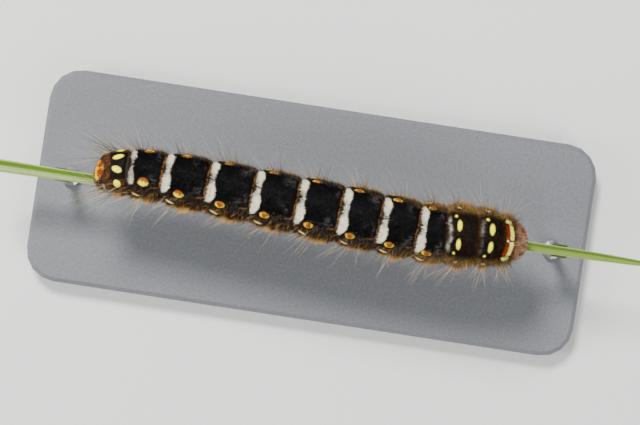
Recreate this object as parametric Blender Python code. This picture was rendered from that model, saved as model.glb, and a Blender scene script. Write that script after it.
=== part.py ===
"""A banded lappet moth larva, life size, clasping a grass blade that a plain stand holds up.

Metres, +Z up. The origin is the centre of the stand's underside. +X runs along the grass towards
the larva's head, and +Y is its left side. Each ring of the body is a solid of its own.

A place on the body is a station, which is its X along the grass, and an angle round the body from
the middle of the back, positive to the left.
"""

import math
import random

import bmesh
import bpy
import numpy as np
from mathutils import Vector

MM = 0.001
GAP = 0.3 * MM  # between neighbouring solids

# The stand: a flat base, and two rods that carry the grass
BASE_LENGTH = 88 * MM
BASE_WIDTH = 34 * MM
BASE_HEIGHT = 4 * MM
BASE_CORNER = 5 * MM
BASE_CORNER_STEPS = 5
BASE_CHAMFER = 0.7 * MM
ROD_REACH = 38.5 * MM  # from the middle of the base to each rod
ROD_RADIUS = 0.7 * MM
ROD_SIDES = 12
COLLAR_RADIUS = 1.5 * MM
COLLAR_HEIGHT = 1.2 * MM
COLLAR_BEVEL = 0.5 * MM
SADDLE_LENGTH = 2.4 * MM
SADDLE_HALF_WIDTH = 1.0 * MM
SADDLE_FOOT_HALF_WIDTH = 0.7 * MM
SADDLE_DEPTH = 1.0 * MM

# The grass blade, a shallow channel with raised margins
GRASS_BOTTOM = 14 * MM
GRASS_THICK = 0.5 * MM
GRASS_CHANNEL = 0.25 * MM
GRASS_STATIONS = np.array([-49.0, -35.0, 0.0, 33.0, 46.0, 51.0, 53.5]) * MM
GRASS_HALF_WIDTHS = np.array([1.0, 0.82, 0.78, 0.75, 0.60, 0.42, 0.25]) * MM
GRASS_CUTS = 14
GRASS_TOP = GRASS_BOTTOM + GRASS_THICK + GRASS_CHANNEL

# The body, from tail to head. Each row is a ring's name, its length along the body, its greatest
# half width, how far its middle sways to the left of the grass, and how far its back leans left.
RINGS = (
    ("abdomen_10", 1.9, 2.85, 1.30, 22.0),
    ("abdomen_9", 3.0, 3.35, 1.80, 22.0),
    ("abdomen_8", 5.55, 3.70, 2.05, 22.0),
    ("abdomen_7", 6.8, 3.98, 1.90, 21.0),
    ("abdomen_6", 6.85, 4.15, 1.55, 19.0),
    ("abdomen_5", 6.7, 4.27, 1.15, 18.0),
    ("abdomen_4", 6.6, 4.35, 0.80, 16.0),
    ("abdomen_3", 6.0, 4.40, 0.40, 12.0),
    ("abdomen_2", 5.8, 4.30, 0.05, 9.0),
    ("abdomen_1", 4.35, 4.22, -0.20, 6.0),
    ("thorax_3", 4.6, 4.25, 0.05, 1.0),
    ("thorax_2", 3.3, 4.10, 0.30, 0.0),
    ("thorax_1", 2.4, 3.45, 0.35, 0.0),
)
TAIL = -33.05 * MM
BELLY_CLEAR = 1.2 * MM  # between the grass and the belly
BACK_SHARE = 0.94  # height of the back above the body's middle, as a share of the half width
BELLY_SHARE = 0.78
BACK_SQUARENESS = 2.0  # an exponent of 2 is an ellipse
BELLY_SQUARENESS = 2.6  # flatter underneath
FOLD_DEPTH = 0.42 * MM  # how far the skin dips at the ends of a long ring
FOLD_SHARPNESS = 5
DEEP_FOLD_RING = 5 * MM  # shorter rings have shallower folds
TAIL_BLUNTNESS = 0.12
LAPPET_ANGLE = math.radians(106)
LAPPET_SPREAD = math.radians(13)
LAPPET_HEIGHT = 0.30 * MM
AROUND = 24
RING_STEPS = (0.0, 0.07, 0.22, 0.5, 0.78, 0.93, 1.0)
TAIL_STEPS = (0.0, 0.04, 0.13, 0.3, 0.55, 0.8, 1.0)

# Warts on each ring: the angle from the back, the share of the ring's length, the half sizes
# along and round the body, and the height
ABDOMEN_WARTS = (
    (59, 0.35, 0.70, 0.66, 0.28),
    (84, 0.24, 0.66, 0.30, 0.40),
)
RING_WARTS = {
    "thorax_1": (),
    "thorax_2": (
        (22, 0.50, 0.42, 0.95, 0.16),
        (45, 0.33, 0.35, 0.35, 0.18),
        (73, 0.37, 0.44, 0.26, 0.20),
    ),
    "thorax_3": (
        (22, 0.39, 0.42, 0.95, 0.16),
        (45, 0.26, 0.35, 0.35, 0.18),
        (73, 0.37, 0.44, 0.26, 0.20),
    ),
    "abdomen_7": (
        (57, 0.42, 0.76, 0.72, 0.28),
        (84, 0.24, 0.66, 0.30, 0.40),
    ),
    "abdomen_8": (
        (51, 0.52, 0.84, 0.80, 0.28),
        (84, 0.32, 0.62, 0.30, 0.40),
    ),
    "abdomen_9": (
        (21, 0.60, 0.75, 0.55, 0.18),
        (65, 0.60, 0.60, 0.72, 0.20),
    ),
    "abdomen_10": (),
}
WART_SINK = 0.35 * MM
WART_SHOULDER = 0.05 * MM
WART_CROWN = 0.62  # the size of its flat top, as a share of its foot
WART_SIDES = 8

# Stiff bristles that stand over the upper warts of the abdomen. A row is how far ahead of the
# wart's middle the bristle's root is, how far round the body from it towards the back, how far its
# tip lies ahead of the root and towards the back, and its length.
BRISTLES = (
    (-0.25 * MM, math.radians(3), -0.5 * MM, math.radians(9), 3.3 * MM),
    (0.35 * MM, math.radians(-4), 0.7 * MM, math.radians(-2), 2.5 * MM),
)
RINGS_WITHOUT_BRISTLES = ("abdomen_9", "abdomen_10", "thorax_1", "thorax_2", "thorax_3")
BRISTLE_SIDES = 3
BRISTLE_SINK = 0.4 * MM
BRISTLE_PROFILE = ((0.0, 0.13 * MM), (0.55, 0.10 * MM))  # shares of its length and radii

# The side fringe, as flat tapered locks of hair. A profile row is a share of the lock's length
# and the share of its full width there.
LOCK_PITCH = 0.95 * MM
LOCK_WIDTH = 1.5 * MM
LOCK_THICK = 0.55 * MM
LOCK_SINK = 0.6 * MM
LOCK_LENGTH = 1.6 * MM
LOCK_PROFILE = ((0.0, 0.9), (0.36, 1.0), (0.72, 0.66), (1.0, 0.0))
LOCK_ANGLES = (99, 112)  # the upper and the lower row
LOCK_DROOPS = (10, 18)  # how much further round the body their tips hang
LOCK_SWEEP = (-0.9 * MM, -0.1 * MM)  # how far back their tips lie
LOCK_INSET = (0.04 * MM, 0.12 * MM)  # between a ring's end and the locks next to it
LOCK_JITTER = 0.1 * MM
LOCK_TURN_JITTER = 2
LOCK_DROOP_JITTER = (-2, 4)
LOCK_SIZES = (0.85, 1.1)
THORAX_LOCK_SCALE = 1.25
LOCK_SEED = 11

# The head, a blunt dome whose lobes a shallow groove parts. Shares run from the neck to the face.
HEAD_LENGTH = 1.85 * MM
HEAD_HALF_WIDTH = 2.85 * MM
HEAD_SWAY = 0.44 * MM
HEAD_STEPS = (0.0, 0.2, 0.5, 0.75, 0.9, 0.97)
HEAD_NECK = 0.93  # the width of the neck end, as a share of the head's
HEAD_CHEEK = 0.2  # where the dome begins
HEAD_ROUNDNESS = 2.2
HEAD_CROWN_SHARE = 0.98
HEAD_CHIN_SHARE = 1.04
FACE_SAG = 0.25 * MM
GROOVE_DEPTH = 0.10 * MM
GROOVE_ANGLE = 0.22
EYE_COUNT = 6  # on each side, in an open ring
EYE_RADIUS = 0.16 * MM
EYE_RING_RADIUS = 0.5 * MM
EYE_RING_SHARE = 0.52
EYE_RING_ANGLE = math.radians(118)
EYE_RING_SWEEP = math.radians(220)
MOUTH_SHARE = 0.72
MOUTH_SIDES = 8
JAW_SPREAD = 0.55 * MM
JAW_DROP = 1.8 * MM  # below the head's middle
JAW_REACH = Vector((0.15, 0.3, -1.0)) * MM  # ahead, inwards and up
JAW_RADII = (0.5 * MM, 0.3 * MM)
LIP_AHEAD = 0.15 * MM
LIP_DROP = 1.4 * MM
LIP_REACH = Vector((0.3, 0.0, -0.95)) * MM
LIP_RADII = (0.6 * MM, 0.45 * MM)
FEELER_SHARE = 0.76
FEELER_ANGLE = math.radians(138)
FEELER_REACHES = (0.42 * MM, 0.85 * MM, 1.3 * MM)
FEELER_RADII = (0.27 * MM, 0.25 * MM, 0.12 * MM)

# The false legs, which pinch the margins of the grass between their pads. A profile row is a
# share of the way down to the grass, and the half sizes along and across the body.
PROLEG_RINGS = (3, 4, 5, 6)
PROLEG_SIDES = 10
PROLEG_SHARE = 0.45  # of the ring's length
PROLEG_ANGLE = math.radians(146)
PROLEG_ROOT = (1.05 * MM, 0.72 * MM)
PROLEG_PROFILE = (
    (0.30, 0.92 * MM, 0.62 * MM),
    (0.62, 0.86 * MM, 0.55 * MM),
    (0.92, 0.95 * MM, 0.50 * MM),
)
PAD_TOP = GRASS_TOP - 0.4 * MM
PAD_BOTTOM = GRASS_BOTTOM - 0.15 * MM
PAD_HALF_DEPTH = 0.55 * MM
PAD_LENGTHS = (0.98 * MM, 0.80 * MM)
PAD_TUCK = 0.14 * MM
CLASPER_BACK = 0.4 * MM  # how far the hindmost pair reaches back
CLASPER_AHEAD = -0.1 * MM  # from the tail's last fold

# The true legs, jointed and clawed
LEG_SIDES = 8
LEG_SHARE = 0.45
LEG_ANGLE = math.radians(140)
LEG_ROOT = (0.55 * MM, 0.55 * MM)
KNEE_REACH = Vector((0.25, 0.2, -0.75)) * MM  # ahead, outwards and up from the root
SHIN_AHEAD = 0.45 * MM
FOOT_AHEAD = 0.4 * MM
FOOT_CLEAR = 0.58 * MM  # from the margin of the grass to the middle of the foot
FOOT_HEIGHT = GRASS_BOTTOM + 0.35 * MM
LEG_SIZES = ((0.46 * MM, 0.42 * MM), (0.36 * MM, 0.33 * MM), (0.24 * MM, 0.22 * MM))
CLAW_REACH = Vector((-0.12, -0.1, -0.5)) * MM

SKIN = ("skin", (0.050, 0.035, 0.028, 1.0), 0.8, 0.0)
BLADE = ("grass", (0.16, 0.34, 0.06, 1.0), 0.45, 0.0)
SHELL = ("shell", (0.20, 0.08, 0.04, 1.0), 0.5, 0.0)
PAINT = ("stand_paint", (0.20, 0.20, 0.20, 1.0), 0.6, 0.0)
STEEL = ("stand_steel", (0.35, 0.35, 0.36, 1.0), 0.35, 1.0)
SHARP_EDGE = math.radians(35)
LEFT, RIGHT = 1, -1
SIDE_WORDS = {LEFT: "left", RIGHT: "right"}


def smooth(stations, values, at):
    """A smooth curve through values at stations, read at one place."""
    slopes = np.gradient(values, stations)
    i = int(np.clip(np.searchsorted(stations, at) - 1, 0, len(stations) - 2))
    span = stations[i + 1] - stations[i]
    t = min(max((at - stations[i]) / span, 0.0), 1.0)
    start = (1 + 2 * t) * (1 - t) ** 2 * values[i] + t * (1 - t) ** 2 * span * slopes[i]
    end = t * t * (3 - 2 * t) * values[i + 1] + t * t * (t - 1) * span * slopes[i + 1]
    return float(start + end)


NAMES = [row[0] for row in RINGS]
LENGTHS = [row[1] * MM for row in RINGS]
FOLDS = [TAIL + sum(LENGTHS[:count]) for count in range(len(RINGS) + 1)]
NECK = FOLDS[-1]
RING_MIDDLES = [low + length / 2 for low, length in zip(FOLDS, LENGTHS, strict=False)]
MIDDLES = np.array([*RING_MIDDLES, NECK + HEAD_LENGTH / 2])
HALF_WIDTHS = np.array([*(row[2] * MM for row in RINGS), HEAD_HALF_WIDTH])
SWAYS = np.array([*(row[3] * MM for row in RINGS), HEAD_SWAY])
LEANS = np.radians([*(row[4] for row in RINGS), 0.0])


def half_width(station):
    """The body's half width, with no folds."""
    return smooth(MIDDLES, HALF_WIDTHS, station)


def middle(station):
    """The body's centre line. The belly runs level, so the line sinks where the body is slim."""
    height = GRASS_TOP + BELLY_CLEAR + BELLY_SHARE * half_width(station)
    return Vector((station, smooth(MIDDLES, SWAYS, station), height))


def axes(station):
    """The directions along the body, to its left and up through its back."""
    step = 0.5 * MM
    ahead = (middle(station + step) - middle(station - step)).normalized()
    lean = smooth(MIDDLES, LEANS, station)
    left = Vector((0, math.cos(lean), -math.sin(lean)))
    left = (left - left.dot(ahead) * ahead).normalized()
    return ahead, left, ahead.cross(left)


def ring_share(index, station):
    """How far a station is through a ring, from 0 to 1."""
    return min(max((station - FOLDS[index]) / LENGTHS[index], 0.0), 1.0)


def fold_dip(station):
    """How far the skin has dipped towards the nearest fold."""
    index = int(np.clip(np.searchsorted(FOLDS, station) - 1, 0, len(RINGS) - 1))
    depth = FOLD_DEPTH * min(1.0, LENGTHS[index] / DEEP_FOLD_RING)
    return depth * abs(2 * ring_share(index, station) - 1) ** FOLD_SHARPNESS


def tail_taper(station):
    """The tail's round end, as a share of the full size."""
    rest = 1 - ring_share(0, station)
    return TAIL_BLUNTNESS + (1 - TAIL_BLUNTNESS) * math.sqrt(1 - rest * rest)


def reach(station, angle):
    """From the centre line to the skin."""
    taper = tail_taper(station)
    wide = half_width(station) * taper
    side, rise = abs(math.sin(angle)), math.cos(angle)
    tall = wide * (BACK_SHARE if rise > 0 else BELLY_SHARE)
    power = BACK_SQUARENESS if rise > 0 else BELLY_SQUARENESS
    plain = ((side / wide) ** power + (abs(rise) / tall) ** power) ** (-1 / power)
    off_lappet = (abs(angle) - LAPPET_ANGLE) / LAPPET_SPREAD
    lappet = LAPPET_HEIGHT * math.exp(-off_lappet * off_lappet)
    return float(plain + (lappet - fold_dip(station)) * taper)


def on_body(station, angle, lift=0.0):
    """A point at some height over the skin."""
    _, left, up = axes(station)
    out = math.sin(angle) * left + math.cos(angle) * up
    return middle(station) + (reach(station, angle) + lift) * out


def turns(count, start=0.0):
    """Equal angles round a circle."""
    return [start + math.tau * k / count for k in range(count)]


def make(name, bm, paint):
    """Turns a bmesh into a closed, outward-facing object with its own material."""
    bmesh.ops.recalc_face_normals(bm, faces=bm.faces)
    mesh = bpy.data.meshes.new(name)
    bm.to_mesh(mesh)
    bm.free()
    obj = bpy.data.objects.new(name, mesh)
    bpy.context.scene.collection.objects.link(obj)
    word, colour, roughness, metallic = paint
    material = bpy.data.materials.new(f"{word}_{name}")
    material.use_nodes = True
    shader = material.node_tree.nodes["Principled BSDF"]
    shader.inputs["Base Color"].default_value = colour
    shader.inputs["Roughness"].default_value = roughness
    shader.inputs["Metallic"].default_value = metallic
    mesh.materials.append(material)
    mesh.shade_smooth()
    mesh.set_sharp_from_angle(angle=SHARP_EDGE)
    return obj


def loft(rings, root=None, tip=None):
    """A closed bmesh through rings of points. An end is flat, or closes in a single point."""
    bm = bmesh.new()
    rows = [[bm.verts.new(point) for point in ring] for ring in rings]
    count = len(rows[0])
    for low, high in zip(rows, rows[1:], strict=False):
        for i in range(count):
            j = (i + 1) % count
            bm.faces.new((low[i], low[j], high[j], high[i]))
    for row, point in ((rows[0], root), (rows[-1], tip)):
        if point is None:
            bm.faces.new(row)
            continue
        apex = bm.verts.new(point)
        for i in range(count):
            bm.faces.new((row[i], row[(i + 1) % count], apex))
    return bm


def keep_largest_surface(mesh):
    """Drops all but the largest closed surface of a mesh."""
    bm = bmesh.new()
    bm.from_mesh(mesh)
    left = set(bm.verts)
    surfaces = []
    while left:
        todo = [left.pop()]
        surface = set(todo)
        while todo:
            for edge in todo.pop().link_edges:
                found = left.intersection(edge.verts)
                left -= found
                surface |= found
                todo.extend(found)
        surfaces.append(surface)
    surfaces.sort(key=len)
    for surface in surfaces[:-1]:
        bmesh.ops.delete(bm, geom=list(surface), context="VERTS")
    bm.to_mesh(mesh)
    bm.free()


def fuse(obj, pieces):
    """Joins closed pieces to an object by one Boolean union, and removes them."""
    group = bpy.data.collections.new(f"{obj.name}_pieces")
    for piece in pieces:
        bpy.context.scene.collection.objects.unlink(piece)
        group.objects.link(piece)
    join = obj.modifiers.new("join", "BOOLEAN")
    join.operation = "UNION"
    join.operand_type = "COLLECTION"
    join.collection = group
    join.solver = "MANIFOLD"
    graph = bpy.context.evaluated_depsgraph_get()
    joined = bpy.data.meshes.new_from_object(obj.evaluated_get(graph))
    obj.modifiers.clear()
    obj.data = joined
    keep_largest_surface(joined)
    for piece in pieces:
        bpy.data.objects.remove(piece)
    bpy.data.collections.remove(group)


def body_ring(index):
    """One ring of the body, between two folds."""
    low = FOLDS[index] + (GAP / 2 if index else 0.0)
    high = FOLDS[index + 1] - GAP / 2
    rings = [
        [on_body(low + (high - low) * share, turn) for turn in turns(AROUND, -math.pi)]
        for share in (RING_STEPS if index else TAIL_STEPS)
    ]
    return make(NAMES[index], loft(rings), SKIN)


def wart(name, index, angle, share, half_long, half_round, height):
    """A low dome on the skin, its lower part sunk in the ring."""
    station = FOLDS[index] + share * LENGTHS[index]
    along = half_long * MM
    around = half_round * MM / half_width(station)
    rings = [
        [
            on_body(
                station + size * along * math.cos(phase),
                math.radians(angle) + size * around * math.sin(phase),
                lift,
            )
            for phase in turns(WART_SIDES)
        ]
        for size, lift in ((1, -WART_SINK), (1, WART_SHOULDER), (WART_CROWN, height * MM))
    ]
    return make(name, loft(rings), SKIN)


def warts(index):
    """The raised spots of one ring, on both sides."""
    rows = RING_WARTS.get(NAMES[index], ABDOMEN_WARTS)
    return [
        wart(f"wart_{index}_{k}_{side}", index, side * angle, *shape)
        for side in (LEFT, RIGHT)
        for k, (angle, *shape) in enumerate(rows)
    ]


def bristle(name, station, angle, side, shape):
    """One stiff bristle, three-sided and tapered to a point."""
    ahead, inward, tip_ahead, tip_inward, length = shape
    rings = []
    for share, radius in BRISTLE_PROFILE:
        place = station + ahead + share * tip_ahead
        turn = side * (angle - inward - share * tip_inward)
        around = radius / half_width(station)
        lift = share * length - (1 - share) * BRISTLE_SINK
        rings.append(
            [
                on_body(place + radius * math.cos(a), turn + around * math.sin(a), lift)
                for a in turns(BRISTLE_SIDES)
            ]
        )
    tip = on_body(station + ahead + tip_ahead, side * (angle - inward - tip_inward), length)
    return make(name, loft(rings, tip=tip), SKIN)


def bristles(index):
    """The bristles of one ring, on both sides. Only banded rings of the abdomen have them."""
    name = NAMES[index]
    if name in RINGS_WITHOUT_BRISTLES:
        return []
    degrees, share, *_ = RING_WARTS.get(name, ABDOMEN_WARTS)[0]
    station = FOLDS[index] + share * LENGTHS[index]
    return [
        bristle(f"bristle_{index}_{k}_{side}", station, math.radians(degrees), side, shape)
        for side in (LEFT, RIGHT)
        for k, shape in enumerate(BRISTLES)
    ]


def lock(name, station, span, angle, droop, scale, sweep):
    """A flat lock of hair that leaves the skin, hangs round the body and tapers to its tip.

    It stays within the span of stations that its ring gives it.
    """
    length = LOCK_SINK + LOCK_LENGTH * scale
    rings = []
    for share, fullness in LOCK_PROFILE:
        turn = angle + math.copysign(droop, angle) * share * share
        half_wide = LOCK_WIDTH / 2 * fullness
        half_thick = LOCK_THICK / 2 * fullness / half_width(station)
        place = station + sweep * share * share
        place = min(max(place, span[0] + half_wide), span[1] - half_wide)
        corners = ((half_wide, 0), (0, half_thick), (-half_wide, 0), (0, -half_thick))
        lift = share * length - LOCK_SINK
        rings.append([on_body(place + x, turn + y, lift) for x, y in corners])
    tip = rings.pop()[0]
    return make(name, loft(rings, tip=tip), SKIN)


def fringe(index, dice):
    """The locks of one ring, in an upper and a lower row on both sides."""
    low = FOLDS[index] + GAP / 2
    high = FOLDS[index + 1] - GAP / 2
    count = max(2, round((high - low) / LOCK_PITCH))
    scale = THORAX_LOCK_SCALE if NAMES[index].startswith("thorax") else 1.0
    locks = []
    for side in (LEFT, RIGHT):
        for k in range(count):
            row = k % 2
            station = low + (k + 0.5) * (high - low) / count
            inset = dice.uniform(*LOCK_INSET)
            turn = LOCK_ANGLES[row] + dice.uniform(-LOCK_TURN_JITTER, LOCK_TURN_JITTER)
            locks.append(
                lock(
                    f"lock_{index}_{side}_{k}",
                    station + dice.uniform(-LOCK_JITTER, LOCK_JITTER),
                    (low + inset, high - inset),
                    side * math.radians(turn),
                    math.radians(LOCK_DROOPS[row] + dice.uniform(*LOCK_DROOP_JITTER)),
                    scale * dice.uniform(*LOCK_SIZES),
                    dice.uniform(*LOCK_SWEEP),
                )
            )
    return locks


def head_point(share, angle, lift=0.0):
    """A point on the head, at a share of the way from the neck to the front of the face."""
    start = NECK + GAP / 2
    ahead, left, up = axes(start)
    dome = max(share - HEAD_CHEEK, 0) / (1 - HEAD_CHEEK)
    narrow = HEAD_NECK + (1 - HEAD_NECK) * min(share / HEAD_CHEEK, 1)
    wide = HEAD_HALF_WIDTH * narrow * math.sqrt(1 - dome**HEAD_ROUNDNESS)
    rise = math.cos(angle)
    shape = HEAD_CROWN_SHARE if rise > 0 else HEAD_CHIN_SHARE
    plain = wide / math.hypot(math.sin(angle), rise / shape)
    groove = GROOVE_DEPTH * math.exp(-((angle / GROOVE_ANGLE) ** 2)) * math.sin(math.pi * share)
    out = math.sin(angle) * left + rise * up
    centre = middle(start) + share * (HEAD_LENGTH - GAP / 2) * ahead - FACE_SAG * share * up
    return centre + (plain - groove + lift) * out


def rod_between(name, points, radii, paint, sides):
    """A round, tapering piece through points."""
    rings = []
    for i, (point, radius) in enumerate(zip(points, radii, strict=True)):
        ahead = (points[min(i + 1, len(points) - 1)] - points[max(i - 1, 0)]).normalized()
        across = ahead.orthogonal().normalized()
        over = ahead.cross(across)
        rings.append(
            [point + radius * (math.cos(a) * across + math.sin(a) * over) for a in turns(sides)]
        )
    return make(name, loft(rings), paint)


def eye(name, centre):
    """One of the small round eyes."""
    bm = bmesh.new()
    bmesh.ops.create_uvsphere(bm, u_segments=6, v_segments=4, radius=EYE_RADIUS)
    bmesh.ops.translate(bm, vec=centre, verts=bm.verts)
    return make(name, bm, SHELL)


def mouth():
    """The jaws, and the lip over them."""
    ahead, left, up = axes(NECK)
    face = middle(NECK) + HEAD_LENGTH * MOUTH_SHARE * ahead
    pieces = []
    for side in (LEFT, RIGHT):
        root = face + side * JAW_SPREAD * left - JAW_DROP * up
        tip = root + JAW_REACH.x * ahead - side * JAW_REACH.y * left + JAW_REACH.z * up
        pieces.append(rod_between(f"jaw_{side}", (root, tip), JAW_RADII, SHELL, MOUTH_SIDES))
    root = face + LIP_AHEAD * ahead - LIP_DROP * up
    tip = root + LIP_REACH.x * ahead + LIP_REACH.z * up
    pieces.append(rod_between("lip", (root, tip), LIP_RADII, SHELL, MOUTH_SIDES))
    return pieces


def eyes(side):
    """The eyes of one side, in an open ring low on the cheek."""
    pieces = []
    for k in range(EYE_COUNT):
        phase = EYE_RING_SWEEP * (k / (EYE_COUNT - 1) - 0.5)
        share = EYE_RING_SHARE + EYE_RING_RADIUS * math.cos(phase) / HEAD_LENGTH
        turn = EYE_RING_ANGLE + EYE_RING_RADIUS * math.sin(phase) / HEAD_HALF_WIDTH
        pieces.append(eye(f"eye_{side}_{k}", head_point(share, side * turn)))
    return pieces


def head():
    """The head capsule, with its eyes and mouth."""
    rings = [
        [head_point(share, turn) for turn in turns(AROUND, -math.pi)] for share in HEAD_STEPS
    ]
    capsule = make("head", loft(rings, tip=head_point(1.0, 0)), SHELL)
    fuse(capsule, eyes(LEFT) + eyes(RIGHT) + mouth())


def feeler(side):
    """A short feeler low on the side of the face."""
    root = head_point(FEELER_SHARE, side * FEELER_ANGLE)
    out = (head_point(FEELER_SHARE, side * FEELER_ANGLE, GAP) - root).normalized()
    way = (out + axes(NECK)[0]).normalized()
    points = [root + distance * way for distance in FEELER_REACHES]
    rod_between(f"antenna_{SIDE_WORDS[side]}", points, FEELER_RADII, SHELL, LEG_SIDES)


def limb(name, station, angle, root_size, path, sizes, sides, paint, tip=None):
    """A limb from the skin through flat oval rings, given as centres and half sizes.

    It starts a gap above the skin and follows its curve. The half sizes are along the body and
    across it.
    """
    half_long, half_deep = root_size
    around = half_deep / half_width(station)
    rings = [
        [
            on_body(station + half_long * math.cos(a), angle + around * math.sin(a), GAP)
            for a in turns(sides)
        ]
    ]
    for place, (along, across) in zip(path, sizes, strict=True):
        rings.append(
            [
                place + Vector((along * math.cos(a), -across * math.sin(a), 0))
                for a in turns(sides)
            ]
        )
    bm = loft(rings, root=on_body(station, angle, GAP), tip=tip)
    make(name, bm, paint)


def grass_half_width(station):
    """Half the width of the grass blade."""
    return smooth(GRASS_STATIONS, GRASS_HALF_WIDTHS, station)


def proleg(name, station, side, back=0.0):
    """A false leg, which bends in from the belly and closes its pad on the blade's margin."""
    angle = side * PROLEG_ANGLE
    root = on_body(station, angle, GAP)
    pad = side * (grass_half_width(station) + GAP + PAD_HALF_DEPTH)
    path, sizes = [], []
    for share, along, across in PROLEG_PROFILE:
        inward = root.y + share * share * (pad - root.y)
        down = root.z + share * (GRASS_TOP - root.z)
        path.append(Vector((station - back * share, inward, down)))
        sizes.append((along, across))
    path.append(Vector((station - back, pad, PAD_TOP)))
    sizes.append((PAD_LENGTHS[0], PAD_HALF_DEPTH))
    path.append(Vector((station - back, pad - side * PAD_TUCK, PAD_BOTTOM)))
    sizes.append((PAD_LENGTHS[1], PAD_HALF_DEPTH - PAD_TUCK))
    limb(name, station, angle, PROLEG_ROOT, path, sizes, PROLEG_SIDES, SKIN)


def true_leg(name, station, side):
    """A jointed leg of the thorax, curved in to its claw beside the grass."""
    angle = side * LEG_ANGLE
    outward = Vector((1, side, 1))
    root = on_body(station, angle, GAP)
    beside = side * (grass_half_width(station) + FOOT_CLEAR)
    knee = root + KNEE_REACH * outward
    shin = Vector((root.x + SHIN_AHEAD, (knee.y + beside) / 2, (knee.z + GRASS_TOP) / 2))
    foot = Vector((root.x + FOOT_AHEAD, beside, FOOT_HEIGHT))
    claw = foot + CLAW_REACH * outward
    path = [knee, shin, foot]
    limb(name, station, angle, LEG_ROOT, path, LEG_SIZES, LEG_SIDES, SHELL, tip=claw)


def grass_blade():
    """The cut length of grass, a shallow channel that narrows to its tip."""
    rings = []
    for station in np.linspace(GRASS_STATIONS[0], GRASS_STATIONS[-1], GRASS_CUTS):
        half = grass_half_width(station)
        profile = [(share * half, abs(share) * GRASS_CHANNEL) for share in (-1, -0.5, 0, 0.5, 1)]
        top = [Vector((station, y, GRASS_BOTTOM + GRASS_THICK + z)) for y, z in profile]
        under = [Vector((station, y, GRASS_BOTTOM + z)) for y, z in reversed(profile)]
        rings.append(top + under)
    make("perch_grass_blade", loft(rings), BLADE)


def stand_base():
    """The flat base, a rounded oblong with a chamfered upper edge."""
    flat_x = BASE_LENGTH / 2 - BASE_CORNER
    flat_y = BASE_WIDTH / 2 - BASE_CORNER
    rings = []
    for inset, height in ((0, 0), (0, BASE_HEIGHT - BASE_CHAMFER), (BASE_CHAMFER, BASE_HEIGHT)):
        radius = BASE_CORNER - inset
        ring = []
        for corner, (x, y) in enumerate(((1, 1), (-1, 1), (-1, -1), (1, -1))):
            for k in range(BASE_CORNER_STEPS):
                turn = math.pi / 2 * (corner + k / (BASE_CORNER_STEPS - 1))
                ring.append(
                    Vector(
                        (
                            x * flat_x + radius * math.cos(turn),
                            y * flat_y + radius * math.sin(turn),
                            height,
                        )
                    )
                )
        rings.append(ring)
    make("stand_base", loft(rings), PAINT)


def stand_rod(name, place):
    """A rod with a collar at its foot and a grooved saddle under the grass."""
    foot = BASE_HEIGHT + GAP
    seat = GRASS_BOTTOM - GAP
    profile = (
        (COLLAR_RADIUS, foot),
        (COLLAR_RADIUS, foot + COLLAR_HEIGHT - COLLAR_BEVEL),
        (ROD_RADIUS, foot + COLLAR_HEIGHT),
        (ROD_RADIUS, seat - SADDLE_DEPTH / 2),
    )
    rod = make(
        name,
        loft(
            [
                [
                    Vector((place + radius * math.cos(a), radius * math.sin(a), height))
                    for a in turns(ROD_SIDES)
                ]
                for radius, height in profile
            ]
        ),
        STEEL,
    )
    edge = seat + GRASS_CHANNEL * SADDLE_HALF_WIDTH / grass_half_width(place)
    outline = (
        (-SADDLE_HALF_WIDTH, edge),
        (0, seat),
        (SADDLE_HALF_WIDTH, edge),
        (SADDLE_FOOT_HALF_WIDTH, seat - SADDLE_DEPTH),
        (-SADDLE_FOOT_HALF_WIDTH, seat - SADDLE_DEPTH),
    )
    ends = (place - SADDLE_LENGTH / 2, place + SADDLE_LENGTH / 2)
    block = loft([[Vector((x, y, z)) for y, z in outline] for x in ends])
    fuse(rod, [make(f"{name}_saddle", block, STEEL)])


def ring_station(name, share):
    """The station at a share of the way through a named ring."""
    index = NAMES.index(name)
    return FOLDS[index] + share * LENGTHS[index]


def build():
    """The whole model: stand, grass, body rings, head, legs and feelers."""
    for obj in list(bpy.data.objects):
        bpy.data.objects.remove(obj)
    stand_base()
    stand_rod("stand_rod_front", ROD_REACH)
    stand_rod("stand_rod_rear", -ROD_REACH)
    grass_blade()
    dice = random.Random(LOCK_SEED)
    for index in range(len(RINGS)):
        fuse(body_ring(index), warts(index) + bristles(index) + fringe(index, dice))
    head()
    for side, word in SIDE_WORDS.items():
        feeler(side)
        for number in (1, 2, 3):
            station = ring_station(f"thorax_{number}", LEG_SHARE)
            true_leg(f"leg_{number}_{word}", station, side)
        for number in PROLEG_RINGS:
            station = ring_station(f"abdomen_{number}", PROLEG_SHARE)
            proleg(f"proleg_{number}_{word}", station, side)
        proleg(f"clasper_{word}", FOLDS[1] + CLASPER_AHEAD, side, back=CLASPER_BACK)


build()
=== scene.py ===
"""Looks of a banded lappet moth larva, life size, clasping a cut grass blade on a plain stand.

Metres, +Z up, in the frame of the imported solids: +X runs along the grass towards the head and +Y is
the larva's left. A place on the body is a station, which is its X on the centre line, and an angle
round the body from the middle of the back, positive to the left.
"""

import logging
import math
from collections.abc import Iterator
from dataclasses import dataclass, field
from enum import Enum
from functools import cached_property
from typing import Self

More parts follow.
